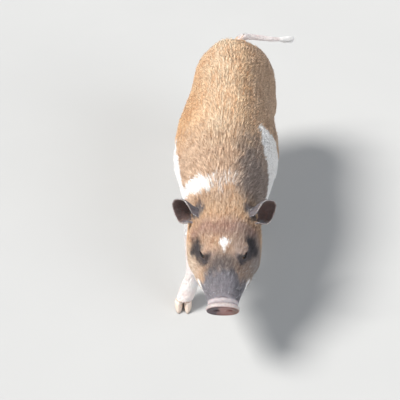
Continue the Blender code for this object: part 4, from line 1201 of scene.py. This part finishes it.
where, normal, _, _ = scatter(on_head & (face_back < WHISKERS_END), 0.012)
chosen = (dice.random(len(where)) < 0.55) & (places(where)[1] > 0.013) & (nearest(where, EYES) > 0.021)
way = normal[chosen] + unit(where[chosen] - np.array((MIDLINE, SNOUT - 0.03, 0.108))) * 0.9
root = where[chosen] - normal[chosen] * HAIR_ROOT
hairs("whiskers", root, way, dice.uniform(*WHISKER_LENGTH, len(root)), WHISKER_THICKNESS,
      droop=np.array((0, 0.05, -0.30)), shade=WHITE_HAIR)

tail_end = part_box("tail")[1][0]
at_tail_end = is_in(face_region, "tail") & (face_middle[:, 0] > tail_end - TAIL_TUFT)
where, normal, _, _ = scatter(at_tail_end, 3.0)
way = np.array((1.0, 0.0, 0.0)) + normal * 0.16 + dice.normal(0, 0.05, (len(where), 3))
reach = np.minimum(dice.uniform(*TAIL_HAIR_LENGTH, len(where)), tail_end - where[:, 0])
reach *= dice.uniform(0.60, 1.0, len(where))
hairs("tail_tuft", where - normal * HAIR_ROOT, way, np.maximum(reach, 0.003), TAIL_HAIR_THICKNESS,
      droop=np.array((0, 0, -0.06)), shade=WHITE_HAIR)

# The studio. A plain pale floor, a broad soft light from above the pig's right side, a weaker one
# from its left front, and pale air that is lightest where it meets the floor.
FLOOR_REACH = 40.0


def studio_floor():
    """A pale floor in one flat sheet, far wider than any view of it."""
    corners = [(x * FLOOR_REACH, y * FLOOR_REACH, 0.0) for x, y in ((-1, -1), (1, -1), (1, 1), (-1, 1))]
    mesh = bpy.data.meshes.new("studio_floor")
    mesh.from_pydata(corners, [], [(0, 1, 2, 3)])
    made = put_in_scene("studio_floor", mesh)
    material, shader, flow = surface("studio_paint", Roughness=1.0, Specular_IOR_Level=0.0)
    cloud = flow.noise(flow.place(), 3.0)
    flow.feed(shader["Base Color"], flow.blend(cloud, (0.445, 0.447, 0.446), (0.480, 0.482, 0.478)))
    mesh.materials.append(material)


def soft_light(name, towards, spread_angle, strength, colour):
    """A far, broad light, even over the whole floor."""
    light = bpy.data.lights.new(name, "SUN")
    light.angle = spread_angle
    light.energy = strength
    light.color = colour
    made = put_in_scene(name, light)
    made.rotation_euler = Vector(towards).to_track_quat("-Z", "Y").to_euler()


studio_floor()
soft_light("key_light", (2.60, -0.10, -3.10), spread_angle=0.40, strength=5.0, colour=(1.0, 0.975, 0.94))
soft_light("fill_light", (-3.0, 2.2, -2.0), spread_angle=0.65, strength=1.60, colour=(0.93, 0.96, 1.0))
world = bpy.data.worlds.new("studio_air")
bpy.context.scene.world = world
world.use_nodes = True
air = world.node_tree.nodes["Background"]
flow = Flow(world.node_tree)
upwards = flow.node("ShaderNodeSeparateXYZ", None, {0: flow.node("ShaderNodeTexCoord")}, output=2)
rise = flow.node("ShaderNodeMapRange", {"interpolation_type": "SMOOTHSTEP"}, {0: upwards, 1: 0.0, 2: 0.35})
flow.feed(air.inputs["Color"], flow.blend(rise, (0.800, 0.800, 0.795), (0.330, 0.350, 0.375)))
bpy.context.scene.view_settings.view_transform = "Standard"

# The camera. High in front of the pig and looking down on it, as in the photograph, a little from
# its left and tilted by a degree or two.
CAMERA_AT = Vector((0.021 + MIDLINE, -0.903 + SNOUT, 1.192))
CAMERA_DOWN = math.radians(43.7)
CAMERA_YAW = math.radians(-3.1)
CAMERA_ROLL = math.radians(-1.6)
SENSOR = 36.0
LENS = 986 / 400 * SENSOR

camera = put_in_scene("camera", bpy.data.cameras.new("camera"))
camera.data.lens = LENS
camera.data.sensor_width = SENSOR
ahead = Vector((
    math.sin(CAMERA_YAW) * math.cos(CAMERA_DOWN),
    math.cos(CAMERA_YAW) * math.cos(CAMERA_DOWN),
    -math.sin(CAMERA_DOWN),
))
camera.rotation_euler = ahead.to_track_quat("-Z", "Y").to_matrix().to_euler()
camera.rotation_euler.rotate_axis("Z", CAMERA_ROLL)
camera.location = CAMERA_AT
bpy.context.scene.camera = camera
